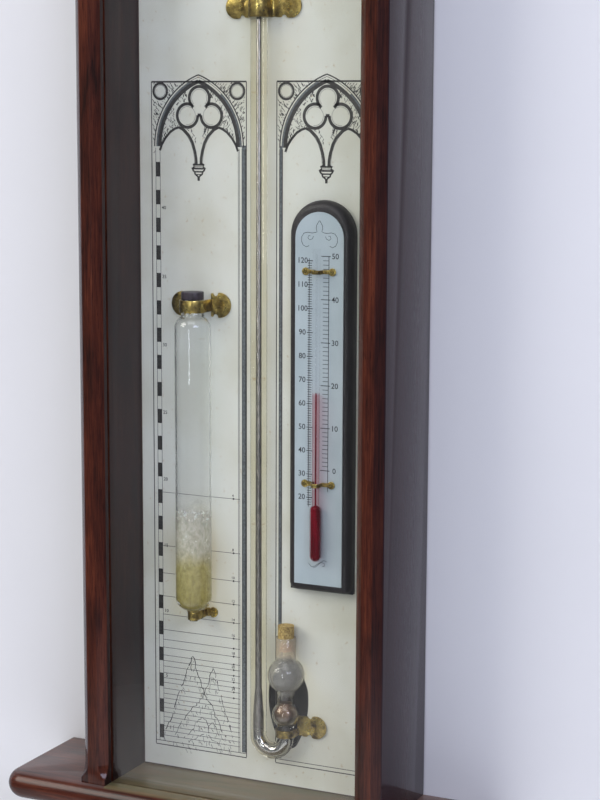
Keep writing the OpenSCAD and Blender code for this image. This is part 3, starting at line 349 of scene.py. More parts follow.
class Sketch:
    """Collects flat ink strokes in x and z, laid on an upright sheet."""

    def __init__(self, depth):
        self.depth = depth
        self.verts = []
        self.faces = []

    def quad(self, points):
        base = len(self.verts)
        self.verts += [place(x, self.depth, z) for x, z in points]
        self.faces.append(tuple(range(base, base + len(points))))

    def box(self, x0, x1, z0, z1):
        self.quad([(x0, z0), (x1, z0), (x1, z1), (x0, z1)])

    def line(self, a, b, width):
        (x0, z0), (x1, z1) = a, b
        run = math.hypot(x1 - x0, z1 - z0) or 1e-6
        nx, nz = -(z1 - z0) / run * width / 2, (x1 - x0) / run * width / 2
        self.quad([(x0 - nx, z0 - nz), (x1 - nx, z1 - nz), (x1 + nx, z1 + nz), (x0 + nx, z0 + nz)])

    def path(self, points, width):
        """One band of even width with mitred corners."""
        sides = []
        for i, (x, z) in enumerate(points):
            before, after = points[max(i - 1, 0)], points[min(i + 1, len(points) - 1)]
            dx, dz = after[0] - before[0], after[1] - before[1]
            run = math.hypot(dx, dz) or 1e-6
            nx, nz = -dz / run * width / 2, dx / run * width / 2
            sides.append(((x - nx, z - nz), (x + nx, z + nz)))
        for a, b in zip(sides, sides[1:]):
            self.quad([a[0], b[0], b[1], a[1]])

    def arc(self, cx, cz, r, start, stop, width, steps=0):
        steps = steps or max(6, int(abs(stop - start) / 8))
        turn = [math.radians(start + (stop - start) * i / steps) for i in range(steps + 1)]
        self.path([(cx + r * math.cos(t), cz + r * math.sin(t)) for t in turn], width)

    def disc(self, cx, cz, r, sides=8):
        turn = [2 * math.pi * i / sides for i in range(sides)]
        self.quad([(cx + r * math.cos(t), cz + r * math.sin(t)) for t in turn])

    def number(self, words, x, z, size):
        """Adds a number from the built-in font, its middle at x and z."""
        curve = bpy.data.curves.new("number", "FONT")
        curve.body = words
        curve.size = size
        curve.offset = 0.012 * size
        curve.align_x = "CENTER"
        curve.align_y = "CENTER"
        curve.resolution_u = 3
        holder = bpy.data.objects.new("number", curve)
        bpy.context.scene.collection.objects.link(holder)
        mesh = evaluated(holder)
        base = len(self.verts)
        self.verts += [place(x + v.co.x, self.depth, z + v.co.y) for v in mesh.vertices]
        self.faces += [tuple(base + i for i in p.vertices) for p in mesh.polygons]
        bpy.data.objects.remove(holder)
        bpy.data.curves.remove(curve)
        bpy.data.meshes.remove(mesh)

    def piece(self, name, material, slot):
        """Lays the strokes down as one piece that faces the room."""
        mesh = bpy.data.meshes.new(name)
        mesh.from_pydata(self.verts, [], self.faces)
        form = bmesh.new()
        form.from_mesh(mesh)
        for face in form.faces:
            face.normal_update()
            if face.normal.y > 0:
                face.normal_flip()
        form.to_mesh(mesh)
        form.free()
        return finish_mesh(name, mesh, material, "case")


# Materials

def polished_mahogany(name, along, tones, gloss=0.1, level=False):
    """Cuban mahogany under French polish: fine dark pores, soft ribbon, wet gloss."""
    material, tree = new_material(name)
    # fibres run a few centimetres, pores are 0.25 mm wide drawn a little coarser
    long_way = {"Z": (1, 1, 0.045), "X": (0.045, 1, 1)}[along]
    fibre = noise(tree, [0.9 * s for s in long_way], 5.0, 0.62)
    ribbon = noise(tree, [0.05 * s ** 0.5 for s in long_way], 3.0, size=1.6, twist=0.6)
    half = maths(tree, "MULTIPLY", maths(tree, "ADD", fibre, ribbon), 0.5)
    tone = ramp(tree, half, *zip((0.36, 0.5, 0.66), tones))
    pore = fit(tree, noise(tree, [2.6 * s for s in long_way], 2.0), 0.34, 0.42, 0.45)
    colour = blend(tree, 1.0, tone, pore, "MULTIPLY")
    # inner faces lie 83 mm from the middle, outer chamfers begin at 95, outer faces at 100
    aside = maths(tree, "ABSOLUTE", own_axis(tree, 0))
    within = fit(tree, aside, 0.08335, 0.08315)
    if level:
        # dust lies on the shelf, yellower inside the case
        film = blend(tree, within, "a09896", "a6aa80")
        there = maths(tree, "MULTIPLY", above(tree, -1.4, -0.3), above(tree, 3.0, 1.0))
        dust = maths(tree, "MULTIPLY", there, fit(tree, within, low=0.13, high=0.22))
        colour = blend(tree, dust, colour, film)
    else:
        # the inner faces were stained dark and never polished; they are painted darkest near the shelf, which
        # is painted shade
        stain_and_shade = blend(tree, 0.75, colour, blend(tree, above(tree, 20.0, 170.0), "181717", "383533"))
        # painted reflection: the outer chamfers are darkened for the dark room they mirror, and the outer
        # faces are darkened and turned purple for the bluish wall they mirror at a low angle
        colour = blend(tree, fit(tree, aside, 0.0947, 0.0953, high=0.5), colour, "190b0f")
        colour = blend(tree, fit(tree, aside, 0.0993, 0.0997, high=0.85), colour, "1f1119")
        colour = blend(tree, within, colour, stain_and_shade)
    solid(tree, {
        "Base Color": colour, "Roughness": 0.5, "Specular IOR Level": 0.05,
        "Normal": bump(tree, pore, 0.12, 0.0002),
        "Coat Weight": fit(tree, within, low=0.6, high=0.6 if level else 0.12), "Coat Roughness": gloss,
        "Coat Normal": bump(tree, ribbon, 0.02, 0.0008)})
    return material


def rubbed_back_wood():
    """Stained secondary wood, oiled only: open grain, dull, no polish."""
    material, tree = new_material("deal, stained and rubbed")
    grain = noise(tree, (0.8, 0.8, 0.03), 6.0, 0.6)
    solid(tree, {
        "Base Color": ramp(tree, grain, (0.3, "30201a"), (0.55, "4d382c"), (0.75, "6b5140")),
        "Roughness": 0.55, "Normal": bump(tree, grain, 0.3, 0.0004)})
    return material


def rag_paper():
    """Rag paper pasted down flat: warm grey-white, cloudy foxing, faint fibre tooth."""
    material, tree = new_material("rag paper, printed")
    cloud = ramp(tree, noise(tree, [0.02] * 3, 4.0), (0.3, "cfcdbc"), (0.52, "dadacd"), (0.72, "e0e1d7"))
    fox = fit(tree, noise(tree, [0.35] * 3, 2.0), 0.66, 0.78, 0.0, 0.5)
    tooth = noise(tree, (1.6, 1.6, 0.9), 3.0)
    solid(tree, {
        "Base Color": blend(tree, fox, cloud, "b59a6c"), "Roughness": 0.72, "Specular IOR Level": 0.3,
        "Normal": bump(tree, tooth, 0.15, 0.0001)})
    return material


def printers_ink(name, dark, light):
    """Letterpress ink on rag paper: brown-black, thinner where the paper's tooth shows."""
    material, tree = new_material(name)
    tone = ramp(tree, noise(tree, [0.9] * 3, 3.0), (0.35, dark), (0.7, light))
    solid(tree, {"Base Color": tone, "Roughness": 0.6})
    return material


def lacquered_brass(name, turned=False, along="X"):
    """Rolled or turned brass under old lacquer: warm gold, brown in the hollows, fine lines."""
    material, tree = new_material(name)
    brushed = noise(tree, {"X": (0.15, 3.0, 3.0), "Z": (3.0, 3.0, 0.15)}[along], 3.0)
    stain = noise(tree, [0.22] * 3, 4.0, 0.6)
    solid(tree, {
        "Base Color": ramp(tree, stain, (0.3, "4b3f24"), (0.48, "937f45"), (0.7, "cdb86a")), "Metallic": 1.0,
        "Roughness": fit(tree, stain, 0.3, 0.7, 0.42, 0.16 if turned else 0.22),
        "Normal": bump(tree, brushed, 0.12, 0.0001)})
    return material


def steel(name, dark, light, rough):
    """Drawn or filed iron and steel: grey, streaked along the work, a little browned."""
    material, tree = new_material(name)
    tone = ramp(tree, noise(tree, (0.3, 2.0, 2.0), 4.0), (0.3, dark), (0.7, light))
    solid(tree, {"Base Color": tone, "Metallic": 1.0, "Roughness": rough})
    return material


def quicksilver():
    """Old mercury: bright grey mirror in the bend; above it a dull thread, painted a darker grey than mercury
    as painted shade for the dim room it mirrors.
    """
    material, tree = new_material("mercury, old, thread in painted shade")
    # painted shade: the thread's grey is darker than mercury's own, for the dim room it mirrors
    thread = ramp(tree, noise(tree, (0.5, 0.5, 0.2), 4.0), (0.35, "807d7b"), (0.65, "9b9894"))
    # the mercury is browner and rougher on the open surface in the lower bulb
    film = short_leg(tree, 44.0, 50.0)
    bend = above(tree, 40.0, 30.0)
    rough = maths(tree, "MAXIMUM", fit(tree, film, low=0.08, high=0.4), fit(tree, bend, low=0.3, high=0.08))
    solid(tree, {
        "Base Color": blend(tree, film, blend(tree, bend, thread, "c9cacb"), "6d5a50"), "Metallic": 1.0,
        "Roughness": rough})
    return material


def storm_spirit():
    """Camphor spirit: clear above, milky with crystals, yellow and thick at the bottom."""
    material, tree = new_material("camphor spirit, yellowed")
    wander = fit(tree, noise(tree, (0.18, 0.18, 0.1), 4.0, 0.6), low=-0.006, high=0.006)
    height = maths(tree, "ADD", own_axis(tree, 2), wander)
    level = fit(tree, height, place(0, 0, 108).z, place(0, 0, 188).z)
    tone = ramp(tree, level, (0.0, "beb36d"), (0.36, "cfc68d"), (0.5, "e2dfd0"), (0.72, "e6e4d9"),
                (0.84, "ffffff"))
    clots = noise(tree, (0.5, 0.5, 0.3), 4.0, 0.7)
    curd = ramp(tree, clots, (0.38, "d8d8d2"), (0.5, "f2f2ee"), (0.6, "ffffff"))
    thick = fit(tree, level, 0.86, 0.72)
    clear = ramp(tree, level, *((where, (share,) * 3 + (1,)) for where, share in (
        (0.0, 0.62), (0.36, 0.55), (0.5, 0.5), (0.7, 0.6), (0.84, 1.0))))
    stain = ramp(tree, level, (0.0, "eadb9c"), (0.5, "efe3c4"), (0.84, "ffffff"))
    lit_through(tree, {
        "Base Color": blend(tree, thick, tone, curd, "MULTIPLY"), "Roughness": 0.0, "IOR": 1.0,
        "Transmission Weight": clear}, stain)
    return material


def see_through(name, tint, ior, streaks=0.0, gap=(0.05, 0.05, 0.01), shine=0.0):
    """Old glass: clear body, bright edges, slight drawn streaks."""
    material, tree = new_material(name)
    haze = noise(tree, gap, 2.0)
    tone = ramp(tree, haze, (0.3, tint), (0.7, "ffffff"))
    lit_through(tree, {
        "Base Color": tone, "Roughness": 0.0, "IOR": ior, "Transmission Weight": 1.0,
        "Normal": bump(tree, haze, streaks, 0.0006), "Coat Weight": shine}, tone)
    return material


def drawn_tubing():
    """Old soda glass: faintly cream, misted inside the upper bulb and milky in its neck."""
    material, tree = new_material("soda glass tubing, drawn")
    tone = ramp(tree, noise(tree, (0.2, 0.2, 0.05), 2.0), (0.3, "f6f2e4"), (0.7, "fbf9f1"))
    mist = maths(tree, "MULTIPLY", short_leg(tree, 60.0, 65.0), above(tree, 86.0, 81.0))
    neck = short_leg(tree, 83.0, 87.0)
    clear = maths(tree, "MULTIPLY", fit(tree, mist, low=1.0, high=0.74), fit(tree, neck, low=1.0, high=0.7))
    colour = blend(tree, neck, blend(tree, mist, tone, "b7b6b1"), "ddd2bd")
    lit_through(tree, {
        "Base Color": colour, "Roughness": 0.0, "IOR": 1.42, "Transmission Weight": clear}, tone)
    return material


def bark_cork():
    """Cut cork: warm brown, dark lenticels and a crumbly skin."""
    material, tree = new_material("cork, cut")
    crumb = add(tree, "ShaderNodeTexVoronoi", {"Vector": own_coordinates(tree, [0.9] * 3), "Scale": 1.0})
    both = maths(tree, "MULTIPLY", crumb.outputs["Distance"], noise(tree, [0.5] * 3, 4.0))
    tone = ramp(tree, both, (0.08, "7d6446"), (0.28, "b49a74"), (0.5, "cdb490"))
    # the cork is paler and yellower above 92 to 96 mm than lower down, inside the glass
    upper_tint = blend(tree, above(tree, 92.0, 96.0), "ffd2b4", "f0eebc")
    solid(tree, {
        "Base Color": blend(tree, 1.0, tone, upper_tint, "MULTIPLY"), "Roughness": 0.8,
        "Normal": bump(tree, both, 0.6, 0.0004)})
    return material


def dark_finish(name, dark, light, rough, coat, scale=(0.4, 0.4, 0.4), depth=0.15, shine=0.3):
    """Paint, wax, japan or dye: deep colour with a brushed, slightly uneven sheen."""
    material, tree = new_material(name)
    cloud = noise(tree, scale, 4.0)
    solid(tree, {
        "Base Color": ramp(tree, cloud, (0.3, dark), (0.7, light)), "Roughness": rough,
        "Normal": bump(tree, cloud, depth, 0.0004), "Specular IOR Level": shine, "Coat Weight": coat,
        "Coat Roughness": 0.2})
    return material


def thermometer_glass():
    """Thin clear stem: almost lost against the plate, pink as far as the spirit stands in it."""
    material, tree = new_material("thermometer glass, drawn")
    tone = blend(tree, above(tree, 247.5, 250.0), "f3cdd2", "fbfbfc")
    lit_through(tree, {"Base Color": tone, "Roughness": 0.0, "IOR": 1.06, "Transmission Weight": 1.0}, tone)
    return material


def opal_plate():
    """Opal glass plate: cold blue-white, smooth, faintly clouded."""
    material, tree = new_material("opal glass, fired")
    tone = ramp(tree, noise(tree, (0.06, 0.06, 0.04), 3.0), (0.3, "aab7bc"), (0.7, "b6c2c7"))
    solid(tree, {"Base Color": tone, "Roughness": 0.28})
    return material


def crystal_flake():
    """Camphor and ammonium crystals in spirit: milky white, soft edges, light passes through."""
    material, tree = new_material("camphor crystals, grown")
    tone = ramp(tree, noise(tree, [0.7] * 3, 3.0), (0.3, "dddcd2"), (0.7, "fafaf6"))
    solid(tree, {
        "Base Color": tone, "Roughness": 0.35, "Subsurface Weight": 0.3, "Subsurface Scale": 0.002})
    return material


# Geometry Nodes for what repeats

def run_tree(name, tree, values):
    """Runs a Geometry Nodes tree on an empty mesh and returns its plain mesh."""
    holder = bpy.data.objects.new(name, bpy.data.meshes.new(name))
    bpy.context.scene.collection.objects.link(holder)
    nodes = holder.modifiers.new("Nodes", "NODES")
    nodes.node_group = tree
    given = {i.name: i.identifier for i in tree.interface.items_tree
             if i.item_type == "SOCKET" and i.in_out == "INPUT"}
    for key, value in values.items():
        nodes[given[key]] = value
    mesh = evaluated(holder)
    bpy.data.objects.remove(holder)
    return mesh


def new_tree(name, inputs):
    """A geometry tree with named inputs; returns the tree, its inputs and its output node."""
    tree = bpy.data.node_groups.new(name, "GeometryNodeTree")
    for label, (kind, default) in inputs.items():
        socket = tree.interface.new_socket(label, in_out="INPUT", socket_type="NodeSocket" + kind)
        if default is not None:
            socket.default_value = default
    tree.interface.new_socket("Geometry", in_out="OUTPUT", socket_type="NodeSocketGeometry")
    return tree, add(tree, "NodeGroupInput").outputs, add(tree, "NodeGroupOutput")


def realised(tree, geometry, material, out):
    """Ends a tree in Realize Instances and Set Material."""
    real = add(tree, "GeometryNodeRealizeInstances", {"Geometry": geometry})
    done = add(tree, "GeometryNodeSetMaterial", {"Geometry": real.outputs[0], "Material": material})
    tree.links.new(done.outputs[0], out.inputs[0])
    return tree


def marks_tree():
    """A column of equal printed marks: bars, rungs or scale ticks."""
    tree, given, out = new_tree("printed marks", {
        "Start": ("Vector", (0, 0, 0)), "Count": ("Int", 10), "Pitch": ("Float", 0.01),
        "Size": ("Vector", (0.003, 0.0001, 0.001)), "Ink": ("Material", None)})
    step = add(tree, "ShaderNodeCombineXYZ", {"Z": given["Pitch"]})
    row = add(tree, "GeometryNodeMeshLine", {
        "Count": given["Count"], "Start Location": given["Start"], "Offset": step.outputs[0]}, mode="OFFSET")
    mark = add(tree, "GeometryNodeMeshCube", {"Size": given["Size"]})
    laid = add(tree, "GeometryNodeInstanceOnPoints", {
        "Points": row.outputs[0], "Instance": mark.outputs["Mesh"]})
    return realised(tree, laid.outputs[0], given["Ink"], out)


def knurl_tree():
    """Straight knurling: short ribs set round a knob's rim."""
    tree, given, out = new_tree("straight knurl", {
        "Centre": ("Vector", (0, 0, 0)), "Count": ("Int", 48), "Rim Radius": ("Float", 0.0085),
        "Rib": ("Vector", (0.005, 0.0006, 0.0006)), "Metal": ("Material", None)})
    ring = add(tree, "GeometryNodeMeshCircle", {"Vertices": given["Count"], "Radius": given["Rim Radius"]})
    upright = add(tree, "GeometryNodeTransform", {
        "Geometry": ring.outputs[0], "Rotation": (0, math.pi / 2, 0)})
    spot = add(tree, "GeometryNodeInputPosition")
    turned = add(tree, "FunctionNodeAlignEulerToVector", {"Vector": spot.outputs[0]},
                 axis="Z", pivot_axis="X")
    rib = add(tree, "GeometryNodeMeshCube", {"Size": given["Rib"]})
    laid = add(tree, "GeometryNodeInstanceOnPoints", {
        "Points": upright.outputs[0], "Instance": rib.outputs["Mesh"], "Rotation": turned.outputs[0]})
    moved = add(tree, "GeometryNodeTransform", {
        "Geometry": laid.outputs[0], "Translation": given["Centre"]})
    return realised(tree, moved.outputs[0], given["Metal"], out)


def flakes_tree():
    """Feathery crystals strewn through a standing column of liquid."""
    tree, given, out = new_tree("crystal flakes", {
        "Bottom": ("Vector", (0, 0, 0)), "Height": ("Float", 0.04), "Radius": ("Float", 0.009),
        "Count": ("Int", 200), "Least": ("Float", 0.0008), "Most": ("Float", 0.003), "Seed": ("Int", 4),
        "Crystal": ("Material", None)})

    def chance(low, high, seed):
        return add(tree, "FunctionNodeRandomValue", {
            2: low, 3: high, "Seed": seed}, data_type="FLOAT").outputs[1]

    points = add(tree, "GeometryNodePoints", {"Count": given["Count"]})
    turn = chance(0.0, 2 * math.pi, given["Seed"])
    away = chance(0.05, 1.0, maths(tree, "ADD", given["Seed"], 11.0))
    up = chance(0.0, 1.0, maths(tree, "ADD", given["Seed"], 23.0))
    # most flakes lie near the glass and near the bottom
    r = maths(tree, "MULTIPLY", maths(tree, "POWER", away, 0.25), given["Radius"])
    where = add(tree, "ShaderNodeCombineXYZ", {
        0: maths(tree, "MULTIPLY", maths(tree, "COSINE", turn), r),
        1: maths(tree, "MULTIPLY", maths(tree, "SINE", turn), r),
        2: maths(tree, "MULTIPLY", maths(tree, "POWER", up, 1.25), given["Height"])})
    there = add(tree, "ShaderNodeVectorMath", {0: where.outputs[0], 1: given["Bottom"]}, operation="ADD")
    spread = add(tree, "GeometryNodeSetPosition", {
        "Geometry": points.outputs[0], "Position": there.outputs[0]})
    flake = add(tree, "GeometryNodeMeshIcoSphere", {"Radius": 1.0, "Subdivisions": 1})
    flat = add(tree, "GeometryNodeTransform", {"Geometry": flake.outputs[0], "Scale": (1.0, 0.45, 0.16)})
    tilt = add(tree, "FunctionNodeRandomValue", {
        0: (0, 0, 0), 1: (6.28, 6.28, 6.28), "Seed": given["Seed"]}, data_type="FLOAT_VECTOR")
    laid = add(tree, "GeometryNodeInstanceOnPoints", {
        "Points": spread.outputs[0], "Instance": flat.outputs[0], "Rotation": tilt.outputs[0],
        "Scale": chance(given["Least"], given["Most"], given["Seed"])})
    return realised(tree, laid.outputs[0], given["Crystal"], out)


def marks(name, tree, ink, x0, x1, z, height, pitch, count, depth=SHEET_FRONT, slot="printed_paper"):
    """One column of marks from x0 to x1, the first one's middle at z."""
    mesh = run_tree(name, tree, {
        "Start": place((x0 + x1) / 2, depth + INK_T / 2, z), "Count": count, "Pitch": pitch * MM,
        "Size": Vector(((x1 - x0) * MM, INK_T * MM, height * MM)), "Ink": ink})
    return finish_mesh(name, mesh, ink, "case")


# Print on the charts

def trefoil(s, cx, z0, k, width):
    """A three-lobed eye, its cusps left open, as cut in gothic tracery."""
    s.arc(cx, z0 + 29.9 * k, 6.8 * k, -54, 234, width)
    for side in (-1, 1):
        s.arc(cx + side * 8.1 * k, z0 + 19.4 * k, 7.0 * k, 90 + side * 29, 90 - side * 272, width)
    s.line((cx - 1.2 * k, z0 + 19.7 * k), (cx + 1.2 * k, z0 + 19.7 * k), width)


def gothic_head(s, cx, z0, k=1.0):
    """A pointed arch with a trefoil, two small arches and a pendant; springs at z0."""
    def stroke(side, points, width):
        s.path([(cx + side * p * k, z0 + q * k) for p, q in points], width)

    # outer pair of arcs struck from the far side, then the heavy inner pair
    for side in (-1, 1):
        start = 90 - side * 90
        for r, width in ((45.2 * k, 0.8), (43.9 * k, 0.3), (41.6 * k, 2.4 * k)):
            top = math.degrees(math.acos(15.0 * k / r))
            s.arc(cx - side * 15.0 * k, z0, r, start, start + side * top, width, 26)
    eye, fine = cx + 0.6 * k, 0.2
    trefoil(s, eye, z0 - 0.9 * k, k, 1.9 * k)
    s.arc(eye, z0 + 29.0 * k, 5.2 * k, -44, 224, fine)
    for side in (-1, 1):
        s.arc(eye + side * 8.1 * k, z0 + 18.5 * k, 5.4 * k, 90 - side * 80, 90 + side * 190, fine)
        # small arch: up from the springing to a point, then down into the pendant
        stroke(side, ((26.6, -2.5), (25.2, 1.2), (22.6, 5.2), (19.4, 8.6), (16.2, 10.6),
                      (13.4, 11.6)), 1.5 * k)
        stroke(side, ((13.4, 11.6), (9.8, 9.8), (6.4, 6.4), (4.0, 2.2), (2.4, -3.2), (1.7, -7.0),
                      (1.5, -10.4)), 1.8 * k)
        stroke(side, ((11.0, 9.6), (8.0, 6.6), (5.4, 2.6), (3.6, -2.4), (2.9, -7.0), (2.7, -10.4)), 0.25)
        # roundel in the spandrel
        for r, width in ((4.7, 1.5 * k), (3.6, 0.22)):
            s.arc(cx + side * 26.1 * k, z0 + 33.0 * k, r * k, 0, 360, width, 30)
    # pendant boss
    for wide, low, thick in ((7.4, -10.8, 1.1), (5.6, -12.0, 0.4), (9.0, -13.1, 1.1), (5.4, -15.0, 0.9),
                             (3.8, -16.6, 0.5)):
        s.line((cx - wide / 2 * k, z0 + low * k), (cx + wide / 2 * k, z0 + low * k), thick * k)
    for side in (-1, 1):
        stroke(side, ((1.6, -10.0), (3.7, -10.8), (2.9, -12.0), (4.5, -13.0), (3.7, -14.2), (2.7, -15.2),
                      (2.4, -16.4), (1.0, -17.4), (0.3, -18.2), (0.25, -20.4)), 1.1 * k)
    shade_spandrels(s, cx, z0, k)


def shade_spandrels(s, cx, z0, k):
    """Short engraver's strokes in the spandrels and behind the tracery."""
    rng = random.Random(7)
    clear = [(0, 29.9, 8.0), (-8.1, 19.4, 8.2), (8.1, 19.4, 8.2), (-26.1, 33.0, 5.8), (26.1, 33.0, 5.8)]
    for _ in range(1500):
        x, z = rng.uniform(-31, 31), rng.uniform(-4, 38)
        if any(math.hypot(x - a, z - b) < c for a, b, c in clear):
            continue
        # distance from the far centre tells the inside of the main arch from its spandrel
        away = math.hypot(abs(x) + 15.0, z)
        inside = away < 40.6
        if not inside and away < 45.4:
            continue
        arch = abs(abs(x) - 13.0)
        if inside and z < 12.4 - arch * arch * 0.085:
            continue
        if abs(x) < 6.5 and z < 16 and abs(x) < 1.6 + 0.02 * z * z:
            continue
        tilt = rng.uniform(0.6, 2.4) if inside else (0.9 if x * z > 0 else 2.2)
        run = rng.uniform(0.6, 2.4)
        dx, dz = math.cos(tilt) * run / 2, math.sin(tilt) * run / 2
        s.line((cx + (x - dx) * k, z0 + (z - dz) * k), (cx + (x + dx) * k, z0 + (z + dz) * k), 0.36)


def lower_print(s, tone):
    """Both lower panels: arches, rules, figures and an outline of hills."""
    left, right, half = -41.5, 43.0, 32.2
    head, spring, foot, last = 430.6, 392.0, 14.6, 16.9
    for centre in (left, right):
        s.line((centre - half, head), (centre + half, head), 1.0)
        for side in (-1, 1):
            s.line((centre + side * half, head), (centre + side * half, foot), 0.6)
        gothic_head(s, centre, spring)
        # shaded hollow of the arch, heavier on its right limb and left shoulder
        tone.arc(centre - 15.0, spring, 43.0, 0, 46, 2.2, 20)
        tone.arc(centre + 15.0, spring, 42.9, 118, 180, 1.6, 20)
    # the bar column, and the inner rule on the other side
    for x in (left - 29.5, left - 26.5, left + 26.8, left + 27.6, right + 26.8):
        s.line((x, spring - 1), (x, last), 0.3)
    # heavy grey shafts of the arches, with a dark edge
    for x0, x1, dark in ((left + 29.2, left + 31.9, left + 31.7), (right - 30.4, right - 28.4, right - 28.5),
                         (right + 29.2, right + 31.9, right + 31.7)):
        tone.box(x0, x1, 17.5, 393.0)
        s.line((dark, 17.5), (dark, spring - 1), 0.6)
        s.line((x0, 17.5), (x0, spring - 1), 0.3)
    for centre in (left, right):
        s.line((centre - half, last), (centre + half, last), 0.4)
        s.line((centre - half, 14.3), (centre + half, 14.3), 0.6)
    # rules that close up towards the ground
    rules = [178.1, 144.0, 126.4, 111.6, 99.8, 89.8, 83.4, 78.3, 73.2, 69.6, 66.0, 61.7, 58.4, 55.3,
             51.5, 48.1]
    while rules[-1] > 21.0:
        rules.append(rules[-1] - 3.05)
    for z in rules:
        s.line((-68.2, z), (-14.0, z), 0.3)
    for z in rules[:15]:
        s.disc(-18.2, z, 0.65)
    for n, z in ((4, 178.1), (8, 144.0), (10, 126.4), (12, 111.6), (14, 99.8), (16, 89.8), (18, 78.3),
                 (20, 69.6), (22, 61.7), (24, 55.3)):
        s.number(str(n), -18.6, z + 1.9, 2.4)
    for n in range(1, 9):
        s.number(str(5 * n), -65.6, 18.0 + 42.1 * n, 3.0)
    hills(s)


def hills(s):
    """Jagged ridges in broken strokes, in a layout of their own."""
    rng = random.Random(19)
    ridges = (
        (0.5, ((-67, 24), (-62, 33), (-58, 47), (-55, 54), (-52, 63), (-49, 71), (-47, 75), (-44, 66),
               (-41, 58), (-38, 50), (-34, 46), (-31, 38), (-27, 30), (-22, 24), (-18, 19))),
        (0.42, ((-60, 22), (-55, 31), (-50, 38), (-45, 43), (-41, 49), (-37, 57), (-34, 66), (-32, 69),
                (-30, 61), (-27, 52), (-25, 43), (-22, 36), (-19, 27))),
        (0.36, ((-54, 20), (-48, 26), (-44, 33), (-40, 37), (-36, 31), (-33, 34), (-29, 27), (-24, 21))),
        (0.3, ((-50, 19), (-43, 23), (-38, 26), (-33, 22), (-28, 19))),
    )
    for width, ridge in ridges:
        points = []
        for (x0, z0), (x1, z1) in zip(ridge, ridge[1:]):
            for t in (0.0, 0.25, 0.5, 0.75):
                points.append((x0 + (x1 - x0) * t + rng.uniform(-0.6, 0.6),
                               z0 + (z1 - z0) * t + rng.uniform(-0.9, 0.9)))
        for a, b in zip(points, points[1:]):
            if rng.random() < 0.84:
                s.line(a, b, width * rng.uniform(0.6, 1.4))
        for x, z in points[::2]:
            # crags hang down from each ridge
            for _ in range(2):
                a = x + rng.uniform(-1.5, 1.8)
                b = z - rng.uniform(1.5, 7.0)
                s.line((a, b), (a + rng.uniform(-0.8, 1.4), b - rng.uniform(1.0, 3.0)), 0.25)


def upper_print(s, tone):
    """The upper panels in the same style, with the inch scale beside the tube."""
    k = 0.72
    half, shaft, inner = 32.0 * k, 29.5 * k, 26.5 * k
    head, spring, last, foot = 897.2, 869.0, 489.6, 487.0
    for centre in (-51.0, 54.4):
        s.line((centre - half, head), (centre + half, head), 0.6)
        for side in (-1, 1):
            s.line((centre + side * half, head), (centre + side * half, foot), 0.45)
            for x in (shaft, inner):
                s.line((centre + side * x, spring - 0.5), (centre + side * x, last), 0.3)
            tone.box(*sorted((centre + side * shaft, centre + side * half)), last, spring - 1.0)
        gothic_head(s, centre, spring, k)
        s.line((centre - half, last), (centre + half, last), 0.3)
        s.line((centre - half, foot), (centre + half, foot), 0.5)
        for z in (560.0, 640.0, 720.0, 800.0):
            for rule in (z, z + 1.4):
                s.line((centre - inner, rule), (centre + inner, rule), 0.25)
    for side in (-1, 1):
        for n in range(27, 32):
            s.number(str(n), TUBE_X + side * 24.4, ZERO_LEVEL + INCH * n, 4.6)
        x = TUBE_X + side * 15.0
        s.line((x, ZERO_LEVEL + INCH * 27), (x, ZERO_LEVEL + INCH * 31), 0.35)


def well_lip(s):
    """The chart's edge over the top of the well, cut close behind the upper bulb."""
    middle, clear = 19.5, 9.4
    # height, and distance from the bulb's axis
    right = ((63.3, 11.8), (66.3, 10.9), (67.8, 10.2), (69.2, 9.6), (71.0, 9.4), (73.3, 9.4))
    left = ((63.3, -14.4), (66.3, -14.0), (68.5, -13.3), (70.5, -12.0), (72.3, -10.4), (73.3, -9.4))

    def edge(points, z):
        if z >= BULB_Z:
            return math.copysign(math.sqrt(max(0.0, clear ** 2 - (z - BULB_Z) ** 2)), points[-1][1])
        for (z0, x0), (z1, x1) in zip(points, points[1:]):
            if z <= z1:
                return x0 + (x1 - x0) * (z - z0) / (z1 - z0)

    def half(z):
        # half the well's width: long arcs of 58 mm, closed by an end of 7 mm, and half a millimetre over
        up = z - 56.6
        bow = math.sqrt(58.33 ** 2 - up ** 2) - 44.83
        return 0.5 + (bow if up < 28.4 else math.sqrt(max(0.0, 49.0 - (up - 25.0) ** 2)))

    rows = [63.3 + 25.3 * i / 46 for i in range(47)]
    for low, high in zip(rows, rows[1:]):
        for points, side in ((left, -1), (right, 1)):
            s.quad([(middle + side * half(low), low), (BULB_X + edge(points, low), low),
                    (BULB_X + edge(points, high), high), (middle + side * half(high), high)])


# Settings

